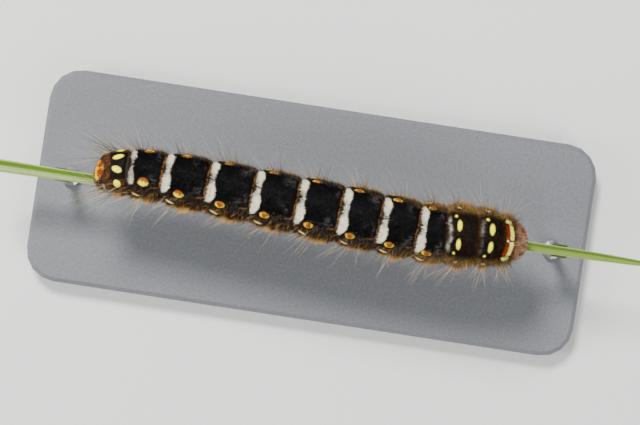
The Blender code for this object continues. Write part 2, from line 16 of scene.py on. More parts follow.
import bpy
import numpy as np
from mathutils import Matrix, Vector


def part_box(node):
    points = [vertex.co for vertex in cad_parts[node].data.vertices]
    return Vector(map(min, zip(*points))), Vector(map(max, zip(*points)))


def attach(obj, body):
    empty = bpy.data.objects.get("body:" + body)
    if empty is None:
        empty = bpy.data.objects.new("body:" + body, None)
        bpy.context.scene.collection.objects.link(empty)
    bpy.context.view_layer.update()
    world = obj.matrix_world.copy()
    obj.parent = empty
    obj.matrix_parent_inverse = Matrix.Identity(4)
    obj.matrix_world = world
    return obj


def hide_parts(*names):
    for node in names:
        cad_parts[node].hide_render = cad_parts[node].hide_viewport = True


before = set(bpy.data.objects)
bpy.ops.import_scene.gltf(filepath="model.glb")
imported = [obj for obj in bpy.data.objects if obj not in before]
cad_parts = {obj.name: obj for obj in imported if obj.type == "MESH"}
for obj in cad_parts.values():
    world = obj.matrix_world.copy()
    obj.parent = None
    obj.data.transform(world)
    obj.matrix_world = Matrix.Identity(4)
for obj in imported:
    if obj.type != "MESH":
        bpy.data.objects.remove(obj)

MM = 0.001
LOG = logging.getLogger("larva")
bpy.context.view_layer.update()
Array = np.ndarray
Mesh = tuple[Array, Array]
Shape = bpy.types.Object
Material = bpy.types.Material
SIDES = (("left", 1), ("right", -1))
X_AXIS = np.array([1.0, 0.0, 0.0])
UNWRAP_EDGE = 0.01
# Directions that no tube and no hair runs along, so that rings can be set square to them.
OFF_TUBES = np.array([0.13, 0.21, 0.97])
OFF_HAIRS = np.array([0.31, 0.17, 0.93])


def srgb(*levels: float) -> Array:
    """Linear light for red, green and blue levels in the usual 0 to 255 scale."""
    level = np.array(levels, float) / 255
    return np.where(level <= 0.04045, level / 12.92, ((level + 0.055) / 1.055) ** 2.4)


def rise_from(low: float, high: float, at: Array) -> Array:
    """A smooth rise from 0 where at is low to 1 where it is high."""
    t = np.clip((at - low) / (high - low), 0, 1)
    return t * t * (3 - 2 * t)


def fall_from(low: float, high: float, at: Array) -> Array:
    """A smooth fall from 1 where at is low to 0 where it is high."""
    return 1 - rise_from(low, high, at)


def hump(off: Array, width: float) -> Array:
    """A smooth hump, 1 where off is 0 and gone at about twice its width."""
    return np.exp(-((off / width) ** 2))


def unit(vectors: Array) -> Array:
    """The vectors at length one."""
    return vectors / np.maximum(np.linalg.norm(vectors, axis=-1, keepdims=True), 1e-12)


def blend(base: Array, top: Array, amount: Array) -> Array:
    """Lays a colour over others, as far as amount says from 0 to 1."""
    amount = np.clip(amount, 0, 1)[..., None]
    return base * (1 - amount) + top * amount


def mottled(dye: Array, least: float, gain: float, grain: Array) -> Array:
    """A colour at its least share where the grain is 0, and stronger by the gain where it is 1."""
    return dye * (least + gain * grain[..., None])


def square_to(axes: Array, vectors: Array) -> Array:
    """What is left of vectors square to unit axes."""
    return vectors - np.sum(vectors * axes, -1, keepdims=True) * axes


def pairs(rows: Array, turns: Array) -> tuple[Array, ...]:
    """Every pair of a row with a turn, in two long lists."""
    return tuple(grid.ravel() for grid in np.meshgrid(rows, turns, indexing="ij"))


def unwrapped(share: Array) -> Array:
    """Shares from 0 to 1 kept clear of the unwrap's edges."""
    return UNWRAP_EDGE + (1 - 2 * UNWRAP_EDGE) * share


def unwrapped_turn(angle: Array) -> Array:
    """Angles from the middle of the back as places across the unwrap."""
    return UNWRAP_EDGE + (1 - 2 * UNWRAP_EDGE) * (angle + math.pi) / (2 * math.pi)


def smooth_curve(knots: Array, values: Array, at: Array) -> Array:
    """A smooth curve through values at knots.

    Args:
        knots: Where the values hold, in rising order.
        values: One value a knot.
        at: Where to read the curve.

    Returns:
        The values there.
    """
    slopes = np.gradient(values, knots)
    i = np.clip(np.searchsorted(knots, at) - 1, 0, len(knots) - 2)
    span = knots[i + 1] - knots[i]
    t = np.clip((at - knots[i]) / span, 0, 1)
    start = (1 + 2 * t) * (1 - t) ** 2 * values[i] + t * (1 - t) ** 2 * span * slopes[i]
    return start + t * t * (3 - 2 * t) * values[i + 1] + t * t * (t - 1) * span * slopes[i + 1]


def spread(values: Array | tuple[float, ...], count: int) -> Array:
    """Numbers read at even steps along a row of values."""
    return np.interp(np.linspace(0, len(values) - 1, count), np.arange(len(values)), values)


def resampled(rows: Array, count: int, passes: int = 1) -> Array:
    """Rows spread evenly along a path and smoothed.

    Args:
        rows: The path's own rows.
        count: How many rows to make.
        passes: How often to smooth.

    Returns:
        The new rows.
    """
    line = np.stack([spread(column, count) for column in rows.T], -1)
    for _ in range(passes):
        line[1:-1] = (line[:-2] + 2 * line[1:-1] + line[2:]) / 4
    return line


@dataclass(frozen=True)
class Grain:
    """Smooth random variation from 0 to 1 over a surface, the same on every run."""

    seed: int
    size: float
    cells: int = 256

    def __call__(self, along: Array, around: Array) -> Array:
        """Reads the variation at distances both ways over the surface."""
        table = np.random.default_rng(self.seed).random((self.cells, self.cells))
        x, y = along / self.size, around / self.size
        i, j = np.floor(x).astype(int), np.floor(y).astype(int)
        u, v = rise_from(0, 1, x - i), rise_from(0, 1, y - j)
        i, j, k, m = (index % self.cells for index in (i, j, i + 1, j + 1))
        near = table[i, j] * (1 - u) + table[k, j] * u
        far = table[i, m] * (1 - u) + table[k, m] * u
        return near * (1 - v) + far * v


class Part(Enum):
    """The kinds of ring that carry different markings."""

    TAIL = "abdomen_10"
    NINTH = "abdomen_9"
    BANDED = "abdomen"
    THORAX = "thorax"
    COLLAR = "thorax_1"


@dataclass(frozen=True)
class Ring:
    """One ring of the body, with its CAD node and its driving sizes in millimetres and degrees."""

    node: str
    length: float
    half_width: float
    sway: float
    lean: float

    @property
    def part(self) -> Part:
        """Which markings it carries."""
        for part in (Part.TAIL, Part.NINTH, Part.COLLAR):
            if self.node == part.value:
                return part
        return Part.THORAX if self.node.startswith(Part.THORAX.value) else Part.BANDED


@dataclass(frozen=True)
class Columns:
    """Lists with one row an item, of which some rows can be picked."""

    def pick(self, rows: Array) -> Self:
        """Some of the rows."""
        return type(self)(*(getattr(self, name)[rows] for name in self.__dataclass_fields__))


@dataclass(frozen=True)
class Places(Columns):
    """Places on the body: stations and angles, and how they lie in their rings."""

    at: Array
    angle: Array
    ring: Array
    past: Array
    length: Array
    width: Array

    @cached_property
    def degrees(self) -> Array:
        """Degrees from the middle of the back, the same on both sides."""
        return np.abs(np.degrees(self.angle))

    @cached_property
    def arc(self) -> Array:
        """Distances round the body from the middle of the back."""
        return self.angle * self.width

    @cached_property
    def fine(self) -> Array:
        """Fine variation."""
        return self.grain(1, 0.20)

    @cached_property
    def broad(self) -> Array:
        """Broad variation."""
        return self.grain(2, 0.9)

    def grain(self, seed: int, size: float) -> Array:
        """Variation of a size in millimetres over the skin."""
        return Grain(seed, size * MM)(self.at, self.arc)


@dataclass(frozen=True)
class BodyPlan:
    """The shape that the solids are built on: rings strung on a centre line."""

    rings: tuple[Ring, ...] = (
        Ring("abdomen_10", 1.9, 2.85, 1.30, 22.0),
        Ring("abdomen_9", 3.0, 3.35, 1.80, 22.0),
        Ring("abdomen_8", 5.55, 3.70, 2.05, 22.0),
        Ring("abdomen_7", 6.8, 3.98, 1.90, 21.0),
        Ring("abdomen_6", 6.85, 4.15, 1.55, 19.0),
        Ring("abdomen_5", 6.7, 4.27, 1.15, 18.0),
        Ring("abdomen_4", 6.6, 4.35, 0.80, 16.0),
        Ring("abdomen_3", 6.0, 4.40, 0.40, 12.0),
        Ring("abdomen_2", 5.8, 4.30, 0.05, 9.0),
        Ring("abdomen_1", 4.35, 4.22, -0.20, 6.0),
        Ring("thorax_3", 4.6, 4.25, 0.05, 1.0),
        Ring("thorax_2", 3.3, 4.10, 0.30, 0.0),
        Ring("thorax_1", 2.4, 3.45, 0.35, 0.0),
    )
    tail: float = -33.05 * MM
    head_length: float = 1.85 * MM
    head_half_width: float = 2.85 * MM
    head_sway: float = 0.44 * MM
    belly_clear: float = 1.2 * MM
    back_share: float = 0.94
    belly_share: float = 0.78
    belly_squareness: float = 2.6
    fold_depth: float = 0.42 * MM
    fold_sharpness: float = 5
    deep_fold_ring: float = 5 * MM
    tail_bluntness: float = 0.12
    lappet_angle: float = math.radians(106)
    lappet_spread: float = math.radians(13)
    lappet_height: float = 0.30 * MM
    axis_step: float = 0.5 * MM

    @cached_property
    def grass_top(self) -> float:
        """The height of the grass margins."""
        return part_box("perch_grass_blade")[1].z

    @cached_property
    def lengths(self) -> Array:
        """The rings' lengths."""
        return np.array([ring.length for ring in self.rings]) * MM

    @cached_property
    def folds(self) -> Array:
        """The stations between rings, with both ends."""
        return self.tail + np.concatenate([[0.0], np.cumsum(self.lengths)])

    @property
    def neck(self) -> float:
        """The station where the head begins."""
        return float(self.folds[-1])

    def station(self, node: str, share: float) -> float:
        """The station at a share of one ring's length."""
        ring = [one.node for one in self.rings].index(node)
        return float(self.folds[ring] + share * self.lengths[ring])

    def _smooth(self, values: list[float], at: Array) -> Array:
        """A smooth curve through one value a ring and one for the head, read at stations."""
        folds = self.folds
        middles = np.append((folds[:-1] + folds[1:]) / 2, folds[-1] + self.head_length / 2)
        return smooth_curve(middles, np.array(values), at)

    def half_width(self, at: Array) -> Array:
        """The body's half width at stations, with no folds."""
        widths = [*(ring.half_width * MM for ring in self.rings), self.head_half_width]
        return self._smooth(widths, at)

    def middle(self, at: Array) -> Array:
        """Points on the centre line at stations."""
        sway = self._smooth([*(ring.sway * MM for ring in self.rings), self.head_sway], at)
        height = self.grass_top + self.belly_clear + self.belly_share * self.half_width(at)
        return np.stack([at, sway, height], -1)

    def axes(self, at: Array) -> tuple[Array, Array, Array]:
        """Unit vectors at stations along the body, to its left and up through its back."""
        ahead = unit(self.middle(at + self.axis_step) - self.middle(at - self.axis_step))
        lean = self._smooth([*(math.radians(ring.lean) for ring in self.rings), 0.0], at)
        left = np.stack([np.zeros_like(lean), np.cos(lean), -np.sin(lean)], -1)
        left = unit(square_to(ahead, left))
        return ahead, left, np.cross(ahead, left)

    def places(self, at: Array | float, angle: Array | float) -> Places:
        """The places at stations and angles."""
        at, angle = np.broadcast_arrays(np.atleast_1d(at), np.atleast_1d(angle))
        ring = np.clip(np.searchsorted(self.folds, at, side="right") - 1, 0, len(self.rings) - 1)
        length = self.lengths[ring]
        past = np.clip(at - self.folds[ring], 0, length)
        return Places(at, angle, ring, past, length, self.half_width(at))

    def taper(self, at: Array) -> Array:
        """How far the tail's rounded end has opened at stations, from 0 to 1."""
        rest = 1 - np.clip((at - self.tail) / self.lengths[0], 0, 1)
        return self.tail_bluntness + (1 - self.tail_bluntness) * np.sqrt(1 - rest * rest)

    def reach(self, on: Places) -> Array:
        """Distances from the centre line to the surface of the solids."""
        taper = self.taper(on.at)
        wide = on.width * taper
        side, rise = np.abs(np.sin(on.angle)), np.cos(on.angle)
        tall = wide * np.where(rise > 0, self.back_share, self.belly_share)
        power = np.where(rise > 0, 2.0, self.belly_squareness)
        plain = ((side / wide) ** power + (np.abs(rise) / tall) ** power) ** (-1 / power)
        depth = self.fold_depth * np.minimum(1, on.length / self.deep_fold_ring)
        dip = depth * np.abs(2 * on.past / on.length - 1) ** self.fold_sharpness
        lappet = self.lappet_height * hump(np.abs(on.angle) - self.lappet_angle, self.lappet_spread)
        return plain + (lappet - dip) * taper

    def place(self, on: Places, distance: Array) -> Array:
        """Points at distances out from the centre line."""
        _, left, up = self.axes(on.at)
        out = np.sin(on.angle)[..., None] * left + np.cos(on.angle)[..., None] * up
        return self.middle(on.at) + distance[..., None] * out


class SpotKind(Enum):
    """How a raised spot is coloured."""

    WART = "yellow ring round an orange heart"
    HIND_WART = "orange above and yellow below"
    OVAL = "pale yellow"
    DASH = "cream"


@dataclass(frozen=True)
class Spot:
    """A raised, coloured spot on both sides of a ring, in millimetres and degrees.

    The slant turns it on the skin, and the roll shifts the pair of spots round the body to the
    left. The edge is how wide its border fades, which is wide enough to hide the mesh's steps.
    """

    kind: SpotKind
    angle: float
    share: float
    half_long: float
    half_round: float
    height: float
    slant: float = 0.0
    roll: float = 0.0
    edge: float = 0.085

    def around(self, on: Places) -> tuple[Array, Array]:
        """Distances from the spot's middle in its own size, and how much of that is up the back."""
        ahead = on.past - self.share * on.length
        middle = np.radians(self.angle + self.roll * np.sign(on.angle))
        upward = (middle - np.abs(on.angle)) * on.width
        turn = math.radians(self.slant)
        long = (ahead * math.cos(turn) - upward * math.sin(turn)) / (self.half_long * MM)
        short = (ahead * math.sin(turn) + upward * math.cos(turn)) / (self.half_round * MM)
        return np.hypot(long, short), upward / (self.half_round * MM)

    @property
    def soft(self) -> float:
        """How wide the spot's edge is, as a share of its size."""
        return self.edge / min(self.half_long, self.half_round)


def ring_spots() -> dict[str, tuple[Spot, ...]]:
    """The spots of each ring."""
    wart, hind, oval, dash = SpotKind.WART, SpotKind.HIND_WART, SpotKind.OVAL, SpotKind.DASH
    low = Spot(dash, 84, 0.24, 0.66, 0.20, 0.42, 20)
    side = Spot(dash, 75, 0.37, 0.34, 0.15, 0.30)
    found = {
        f"abdomen_{number}": (Spot(wart, 59, 0.35, 0.70, 0.66, 0.28), low)
        for number in range(2, 7)
    }
    return found | {
        "abdomen_1": (Spot(wart, 60, 0.41, 0.68, 0.64, 0.28), low),
        "abdomen_7": (Spot(hind, 57, 0.42, 0.76, 0.72, 0.28), low),
        "abdomen_8": (
            Spot(hind, 51, 0.52, 0.80, 0.78, 0.28, 0, 6.5),
            Spot(dash, 84, 0.32, 0.60, 0.21, 0.42, 20),
        ),
        "abdomen_9": (
            Spot(oval, 21, 0.63, 0.70, 0.50, 0.16, 36, 3.5),
            Spot(oval, 64, 0.62, 0.55, 0.74, 0.18, 0, 2.5),
        ),
        "thorax_3": (
            Spot(oval, 22, 0.385, 0.32, 0.94, 0.14),
            Spot(oval, 45.5, 0.27, 0.22, 0.29, 0.16),
            side,
        ),
        "thorax_2": (
            Spot(oval, 22, 0.50, 0.30, 0.98, 0.14),
            Spot(oval, 46, 0.33, 0.21, 0.29, 0.16),
            side,
        ),
    }


class Dye:
    """The model's colours as linear light, in pairs where a finish runs between two."""

    VELVET = srgb(7, 6, 7)
    # Painted sheen: the grey that stands in for light glancing off the velvet near the front of each
    # block.
    BLOOM = srgb(86, 80, 81)
    # Painted shade: near black for the shade in the folds between rings and round the foot of each
    # raised spot.
    CREASE = srgb(6, 5, 4)
    CREAM = srgb(255, 246, 222)
    SMOKE = srgb(110, 98, 84)
    PIPING = srgb(172, 112, 52)
    FLANK = srgb(36, 25, 17)
    BELLY = srgb(88, 66, 44)
    LEMON = srgb(255, 242, 48)
    YOLK = srgb(250, 208, 34)
    AMBER = srgb(154, 84, 0)
    RUST = srgb(150, 58, 2)
    GOLD = srgb(198, 148, 34)
    BARK = srgb(92, 58, 28)
    CHESTNUT = srgb(104, 43, 18)
    GINGER = srgb(146, 54, 14)
    STRAW = srgb(206, 186, 148)
    SOOT = srgb(20, 15, 12)
    HAIR_TIP = srgb(250, 240, 220)
    GRASS = srgb(72, 102, 14)
    PALE_GRASS = srgb(152, 168, 80)
    DRY_GRASS = srgb(152, 104, 48)
    SLATE = (srgb(94, 96, 99), srgb(108, 110, 113))
    STEEL = (srgb(150, 150, 152), srgb(196, 196, 198))
    PAPER = (srgb(214, 213, 210), srgb(220, 219, 216))


@dataclass(frozen=True)
class Markings:
    """The pattern of bands, velvet blocks, spots and lines, with painted sheen and painted shade,
    shared by the skin and its coat.
    """

    plan: BodyPlan
    spots: dict[str, tuple[Spot, ...]] = field(default_factory=ring_spots)
    band_start: float = 0.26 * MM
    hind_band_start: float = 0.70 * MM
    hind_band_share: float = 0.58
    band_back: float = 0.84 * MM
    band_side: float = 1.18 * MM
    left_band_share: float = 0.88
    band_limit: float = 64
    hind_band_limit: float = 55
    block_half_angle: float = 52
    block_corner: float = 1.1 * MM
    block_end: float = 0.60 * MM
    piping_width: float = 0.09 * MM
    block_rise: float = 0.12 * MM
    wisp_start: float = 0.50 * MM
    wisp_width: float = 0.20 * MM
    rust_share: float = 0.30
    rust_half_share: float = 0.12
    cream_share: float = 0.55
    cream_half_share: float = 0.135
    plate_turn: float = math.radians(-9)
    plate_start: float = 0.30 * MM
    plate_half_long: float = 1.72 * MM
    plate_half_wide: float = 1.85 * MM
    lobe_start: float = 1.15 * MM
    lobe_side: float = 0.66 * MM
    lobe_half_long: float = 0.98 * MM
    lobe_half_wide: float = 0.86 * MM

    def each_spot(self, on: Places) -> Iterator[tuple[Spot, Array, Array, Array]]:
        """Each spot with the rows on its ring, their distances and how far up they are."""
        for number, ring in enumerate(self.plan.rings):
            rows = np.flatnonzero(on.ring == number)
            for spot in self.spots.get(ring.node, ()) if len(rows) else ():
                yield spot, rows, *spot.around(on.pick(rows))

    def within(self, on: Places, *names: str | Part) -> Array:
        """1 at places in rings of these nodes or kinds, and 0 elsewhere."""
        inside = [ring.node in names or ring.part in names for ring in self.plan.rings]
        return np.array(inside, float)[on.ring]

    def front(self, on: Places) -> Array:
        """1 at places in the three rings behind the head, and 0 elsewhere."""
        return self.within(on, Part.THORAX, Part.COLLAR)

    def bareness(self, on: Places) -> Array:
        """How far places lie within a spot, where the coat is shortest, from 0 to 1."""
        bare = np.zeros_like(on.at)
        for spot, rows, far, _ in self.each_spot(on):
            edge = 3.0 if spot.kind is SpotKind.DASH else 1.5
            bare[rows] = np.maximum(bare[rows], fall_from(1.0, edge, far))
        return bare

    def rise(self, on: Places) -> Array:
        """How far the spots and the velvet blocks stand out of the skin, in metres."""
        height = self.block_rise * self.block(on)[0]
        for spot, rows, far, _ in self.each_spot(on):
            dome = hump(far, 1.9) if spot.kind is SpotKind.DASH else fall_from(0.35, 1.2, far)
            height[rows] = np.maximum(height[rows], dome * spot.height * MM)
        return height

    def _band_start(self, on: Places) -> Array:
        """How far past the fold each ring's pale band starts."""
        return np.where(self.within(on, "abdomen_8") > 0, self.hind_band_start, self.band_start)

    def band(self, on: Places) -> tuple[Array, Array]:
        """How much of the pale band is at each place, and how far past the fold its front is."""
        ragged = (Grain(5, 0.10 * MM)(on.at * 0.4, on.arc) - 0.5) * 0.30 * MM
        ragged += (Grain(6, 1.2 * MM)(on.arc, on.ring * 7 * MM) - 0.5) * 0.12 * MM
        side = self.band_side * np.where(on.angle > 0, self.left_band_share, 1.0)
        width = self.band_back + (side - self.band_back) * rise_from(6, 30, on.degrees)
        hindmost = self.within(on, "abdomen_8") > 0
        width = np.where(hindmost, width * self.hind_band_share, width)
        start = self._band_start(on)
        front = start + width + ragged
        start = start + 0.16 * MM * fall_from(5, 24, on.degrees)
        cut = rise_from(42, 66, on.degrees) * np.where(hindmost, 0.15 * MM, 0.70 * MM)
        inside = rise_from(-0.04 * MM, 0.05 * MM, on.past - start - ragged * 0.5)
        inside = inside * fall_from(-0.05 * MM, 0.05 * MM, on.past - front + cut)
        limit = np.where(hindmost, self.hind_band_limit, self.band_limit)
        limit = limit + (on.grain(7, 0.3) - 0.5) * 7
        inside = inside * fall_from(-2.0, 2.0, on.degrees - limit)
        return inside * self.within(on, Part.BANDED), front

    def block(self, on: Places) -> tuple[Array, Array]:
        """How much of the black velvet block is at each place, and how far through it that is."""
        _, front = self.band(on)
        end = on.length - self.block_end
        over_side = np.radians(on.degrees - self.block_half_angle) * on.width
        over_side = np.maximum(over_side + self.block_corner, 0)
        over_end = np.maximum(on.past - end + self.block_corner, 0)
        inside = fall_from(-0.22 * MM, 0.16 * MM, np.hypot(over_side, over_end) - self.block_corner)
        inside = inside * rise_from(-0.08 * MM, 0.12 * MM, on.past - front)
        through = np.clip((on.past - front) / (end - front), 0, 1)
        return inside * self.within(on, Part.BANDED), through

    def _spot_colour(self, spot: Spot, on: Places, far: Array, up: Array) -> Array:
        """The colours inside a spot.

        Args:
            spot: The spot.
            on: The places.
            far: Distances from the spot's middle, in its own size.
            up: How much of that is up the back.

        Returns:
            Linear colours.
        """
        grain = on.grain(11, 0.16)
        heart = mottled(Dye.AMBER, 0.42, 0.5, grain)
        if spot.kind is SpotKind.WART:
            off = np.hypot(far, 0.28) * np.where(up > 0, 0.86, 1.16) + 0.3 * (grain - 0.5)
            tone = blend(Dye.YOLK, heart, fall_from(0.60, 0.86, off))
            upper_rim = rise_from(0.25, 0.7, up) * rise_from(0.6, 0.9, far)
            tone = blend(tone, Dye.AMBER * 0.8, upper_rim * 0.8)
            return blend(tone, Dye.RUST * 0.6, fall_from(0.10, 0.22, far) * 0.5)
        if spot.kind is SpotKind.HIND_WART:
            upper = rise_from(-0.25, 0.25, up + 0.7 * (grain - 0.5))
            pale, dark = Dye.LEMON * 0.6 + Dye.YOLK * 0.4, heart * 0.75 + Dye.RUST * 0.25
            return blend(pale, dark, upper)
        if spot.kind is SpotKind.DASH:
            return mottled(Dye.CREAM * 0.28 + Dye.YOLK * 0.50, 0.85, 0.3, grain)
        return mottled(Dye.LEMON, 0.86, 0.22, grain)

    def _ground(self, on: Places) -> Array:
        """The ground colours of the back, flanks and belly, with the velvet blocks, the painted sheen
        near their fronts and the painted shade in the folds between rings.
        """
        fine, broad, degrees = on.fine, on.broad, on.degrees
        tone = mottled(Dye.FLANK, 0.55, 0.9, fine)
        tone = blend(tone, Dye.BARK, rise_from(62, 92, degrees) * (0.12 + 0.45 * broad))
        tone = blend(tone, Dye.BELLY, rise_from(108, 130, degrees) * (0.5 + 0.4 * broad))
        blotch = rise_from(0.5, 0.7, on.grain(14, 1.6))
        tone = blend(tone, Dye.SOOT * 1.5, blotch * rise_from(140, 165, degrees) * 0.6)
        back = fall_from(48, 64, degrees)
        front, ninth = self.front(on), self.within(on, Part.NINTH)
        tone = blend(tone, Dye.SOOT * 0.7, (front + ninth) * back * 0.85)
        rear = fall_from(0.22, 0.40, on.past / on.length + 0.2 * (broad - 0.5))
        worn = np.maximum(rear, rise_from(40, 52, degrees) * 0.8)
        worn = worn * (0.35 + 0.65 * rise_from(0.35, 0.62, fine))
        tone = blend(tone, mottled(Dye.BARK, 1.0, 1.1, broad), ninth * worn * 0.9)
        speckle = rise_from(0.45, 0.8, fine) * rise_from(0.3, 0.6, broad)
        tone = blend(tone, Dye.BARK * 0.6, front * speckle * 0.3)
        near_fold = np.minimum(on.past, on.length - on.past)
        tone = blend(tone, Dye.BARK * 0.8, front * hump(near_fold, 0.35 * MM) * 0.4)
        block, through = self.block(on)
        streak = Grain(12, 0.11 * MM)(on.at * 0.35, on.arc)
        # Painted sheen: grey streaks over the front part of each velvet block stand in for light
        # glancing off the velvet where it curves down to the fold.
        sheen_amount = rise_from(0.45, 0.90, through) * rise_from(0.34, 0.66, broad)
        sheen_amount = sheen_amount * rise_from(10, 36, degrees) * rise_from(0.34, 0.70, streak)
        velvet = blend(Dye.VELVET, Dye.BLOOM, sheen_amount)
        # Painted shade: the back of each banded ring is laid near black, which shows in the fold
        # between the velvet block and the next pale band.
        tone = blend(tone, Dye.CREASE, self.within(on, Part.BANDED) * back * 0.9)
        return blend(tone, velvet, block)

    def _piping(self, tone: Array, on: Places) -> Array:
        """Adds the brown piping round the velvet blocks and the smoky lead to each pale band."""
        banded, rest = self.within(on, Part.BANDED), on.length - on.past
        wander = (Grain(8, 0.6 * MM)(on.arc, on.ring * 5.0 * MM) - 0.5) * 0.16 * MM
        wide = self.piping_width * (0.3 + 1.5 * Grain(9, 0.32 * MM)(on.arc, on.ring * 3.0 * MM))
        line = fall_from(0.0, 0.06 * MM, np.abs(rest - 0.17 * MM + wander) - wide / 2) * banded
        line = line * fall_from(50, 56, on.degrees) * rise_from(1.0, 4.5, on.degrees)
        line = line * (1 - 0.85 * self.within(on, "abdomen_1"))
        tone = blend(tone, mottled(Dye.PIPING, 0.45, 1.0, on.fine), line * 0.9)
        stroke = np.hypot((rest - 0.85 * MM) / (0.72 * MM), (on.degrees - 55.5) / 2.2)
        stroke = banded * fall_from(0.6, 1.1, stroke + 0.4 * (on.fine - 0.5))
        tone = blend(tone, mottled(Dye.PIPING, 0.8, 0.5, on.fine), stroke * 0.9)
        lead = banded * fall_from(0.0, 1.0, on.past / self._band_start(on))
        return blend(tone, Dye.SMOKE * 0.7, lead * fall_from(48, 64, on.degrees) * 0.6)

    def _bands(self, tone: Array, on: Places) -> Array:
        """Adds the pale bands of the banded rings and the wisps behind the thorax."""
        fine, broad, degrees = on.fine, on.broad, on.degrees
        band, front = self.band(on)
        start, hindmost = self._band_start(on), self.within(on, "abdomen_8")
        streak = Grain(13, 0.09 * MM)(on.at * 0.3, on.arc)
        pale = mottled(Dye.CREAM, 0.90, 0.12, fine)
        rear_half = fall_from(0.30, 0.75, (on.past - start) / (front - start))
        pale = blend(pale, Dye.SMOKE * 1.6, rear_half * rise_from(0.45, 0.75, streak) * 0.55)
        parting = fall_from(9, 26, degrees) * (0.45 + 0.55 * rear_half)
        pale = blend(pale, Dye.SMOKE, parting * rise_from(0.25, 0.55, fine))
        pale = blend(pale, Dye.SOOT, fall_from(2, 9, degrees) * rise_from(0.55, 0.7, fine))
        worn = hindmost * (0.15 + 0.55 * broad) * fall_from(30, 50, degrees)
        pale = blend(pale, Dye.SMOKE * 1.7, worn)
        tone = blend(tone, pale, band)
        third = self.within(on, "thorax_3")
        sway = 0.35 * MM * (broad - 0.5) + third * 0.16 * MM * (fall_from(8, 38, degrees) - 0.5)
        wisp = hump(on.past - self.wisp_start - sway, self.wisp_width)
        wisp = wisp * (0.35 + 0.65 * rise_from(2, 9, degrees))
        wisp = wisp * fall_from(32, 50, degrees) * (0.18 + 0.74 * rise_from(0.34, 0.56, streak))
        second = self.within(on, "thorax_2") * np.where(on.angle > 0, 0.30, 0.14)
        return blend(tone, Dye.CREAM * 0.82, wisp * (third + second))

    def _collar(self, tone: Array, on: Places) -> Array:
        """Adds the cream and rust lines across the first ring behind the head."""
        here, degrees, fine = self.within(on, Part.COLLAR), on.degrees, on.fine
        share = on.past / on.length
        bowed = share + 0.10 * (degrees / 50) ** 2
        ahead = here * rise_from(0.69, 0.78, bowed)
        tone = blend(tone, mottled(Dye.BARK, 0.8, 0.7, fine), ahead)
        off = np.abs(bowed - self.rust_share) / self.rust_half_share
        rust = fall_from(0.8, 1.05, off + (fine - 0.5) * 0.4) * here
        rust = rust * rise_from(2.0, 4.0, degrees) * fall_from(43, 47, degrees)
        tone = blend(tone, mottled(Dye.RUST, 0.8, 0.5, fine), rust)
        off = np.abs(bowed - self.cream_share) / self.cream_half_share
        cream = fall_from(0.8, 1.05, off + (fine - 0.5) * 0.2) * here
        cream = cream * rise_from(1.2, 2.6, degrees) * fall_from(42.5, 45, degrees)
        blob = fall_from(0.85, 1.1, np.hypot((share - 0.37) / 0.25, (degrees - 55) / 7.5)) * here
        tone = blend(tone, Dye.SOOT, hump(degrees - 46.5, 2.0) * here * hump(bowed - 0.4, 0.35))
        dot = fall_from(0.7, 1.1, np.hypot((share - 0.27) / 0.08, degrees / 3.2)) * here
        tone = blend(tone, Dye.CREAM * 0.9, dot)
        return blend(tone, Dye.LEMON * 0.80 + Dye.CREAM * 0.40, np.maximum(cream, blob))

    def _tail_plate(self, tone: Array, on: Places) -> Array:
        """Adds the shield over the tail, golden with an orange heart of two lobes."""
        here, fine = self.within(on, Part.TAIL), on.fine
        past = on.at - self.plan.tail
        reach, turn = self.plan.reach(on), on.angle - self.plate_turn
        across, rise = reach * np.sin(turn), reach * np.cos(turn)
        ahead = here * rise_from(0.78, 0.92, past / on.length)
        tone = blend(tone, mottled(Dye.BARK, 0.6, 0.6, fine), ahead * 0.7)
        long = (past - self.plate_start) / self.plate_half_long
        steep = np.maximum(np.abs(rise - 1.8 * MM) - 0.9 * MM, 0) / (0.8 * MM)
        far = np.hypot(np.hypot(long, across / self.plate_half_wide), steep) + (fine - 0.5) * 0.16
        shield = here * fall_from(0.92, 1.04, far) * rise_from(-0.1 * MM, 0.1 * MM, rise)
        wide = (np.abs(across) - self.lobe_side) / self.lobe_half_wide
        lobe = np.hypot((past - self.lobe_start) / self.lobe_half_long, wide)
        heart = mottled(Dye.AMBER * 0.2 + Dye.RUST * 0.7, 0.6, 0.6, fine)
        pale = Dye.GOLD * 0.55 + Dye.YOLK * 0.52
        plate = blend(pale, heart, fall_from(0.75, 1.0, lobe + fine - 0.5))
        plate = blend(plate, Dye.BARK, rise_from(0.80, 0.92, far) * 0.35)
        edge = here * fall_from(0.08 * MM, 0.20 * MM, np.abs(past - 1.55 * MM))
        edge = edge * rise_from(64, 74, on.degrees) * fall_from(128, 140, on.degrees)
        return blend(blend(tone, Dye.STRAW * 0.8, edge * 0.85), plate, shield)

    def colour(self, on: Places) -> Array:
        """The linear colours of the skin and its short coat."""
        tone = self._bands(self._piping(self._ground(on), on), on)
        for spot, rows, far, up in self.each_spot(on):
            here, soft = on.pick(rows), spot.soft
            far = far + (here.fine - 0.5) * 0.14
            # Painted shade: a dark rim just outside each raised spot, at its foot.
            dark = blend(tone[rows], Dye.CREASE, fall_from(1 + soft, 1.3 + 2 * soft, far))
            inner = self._spot_colour(spot, here, far, up)
            tone[rows] = blend(dark, inner, fall_from(1 - soft, 1 + soft, far))
        return self._tail_plate(self._collar(tone, on), on)


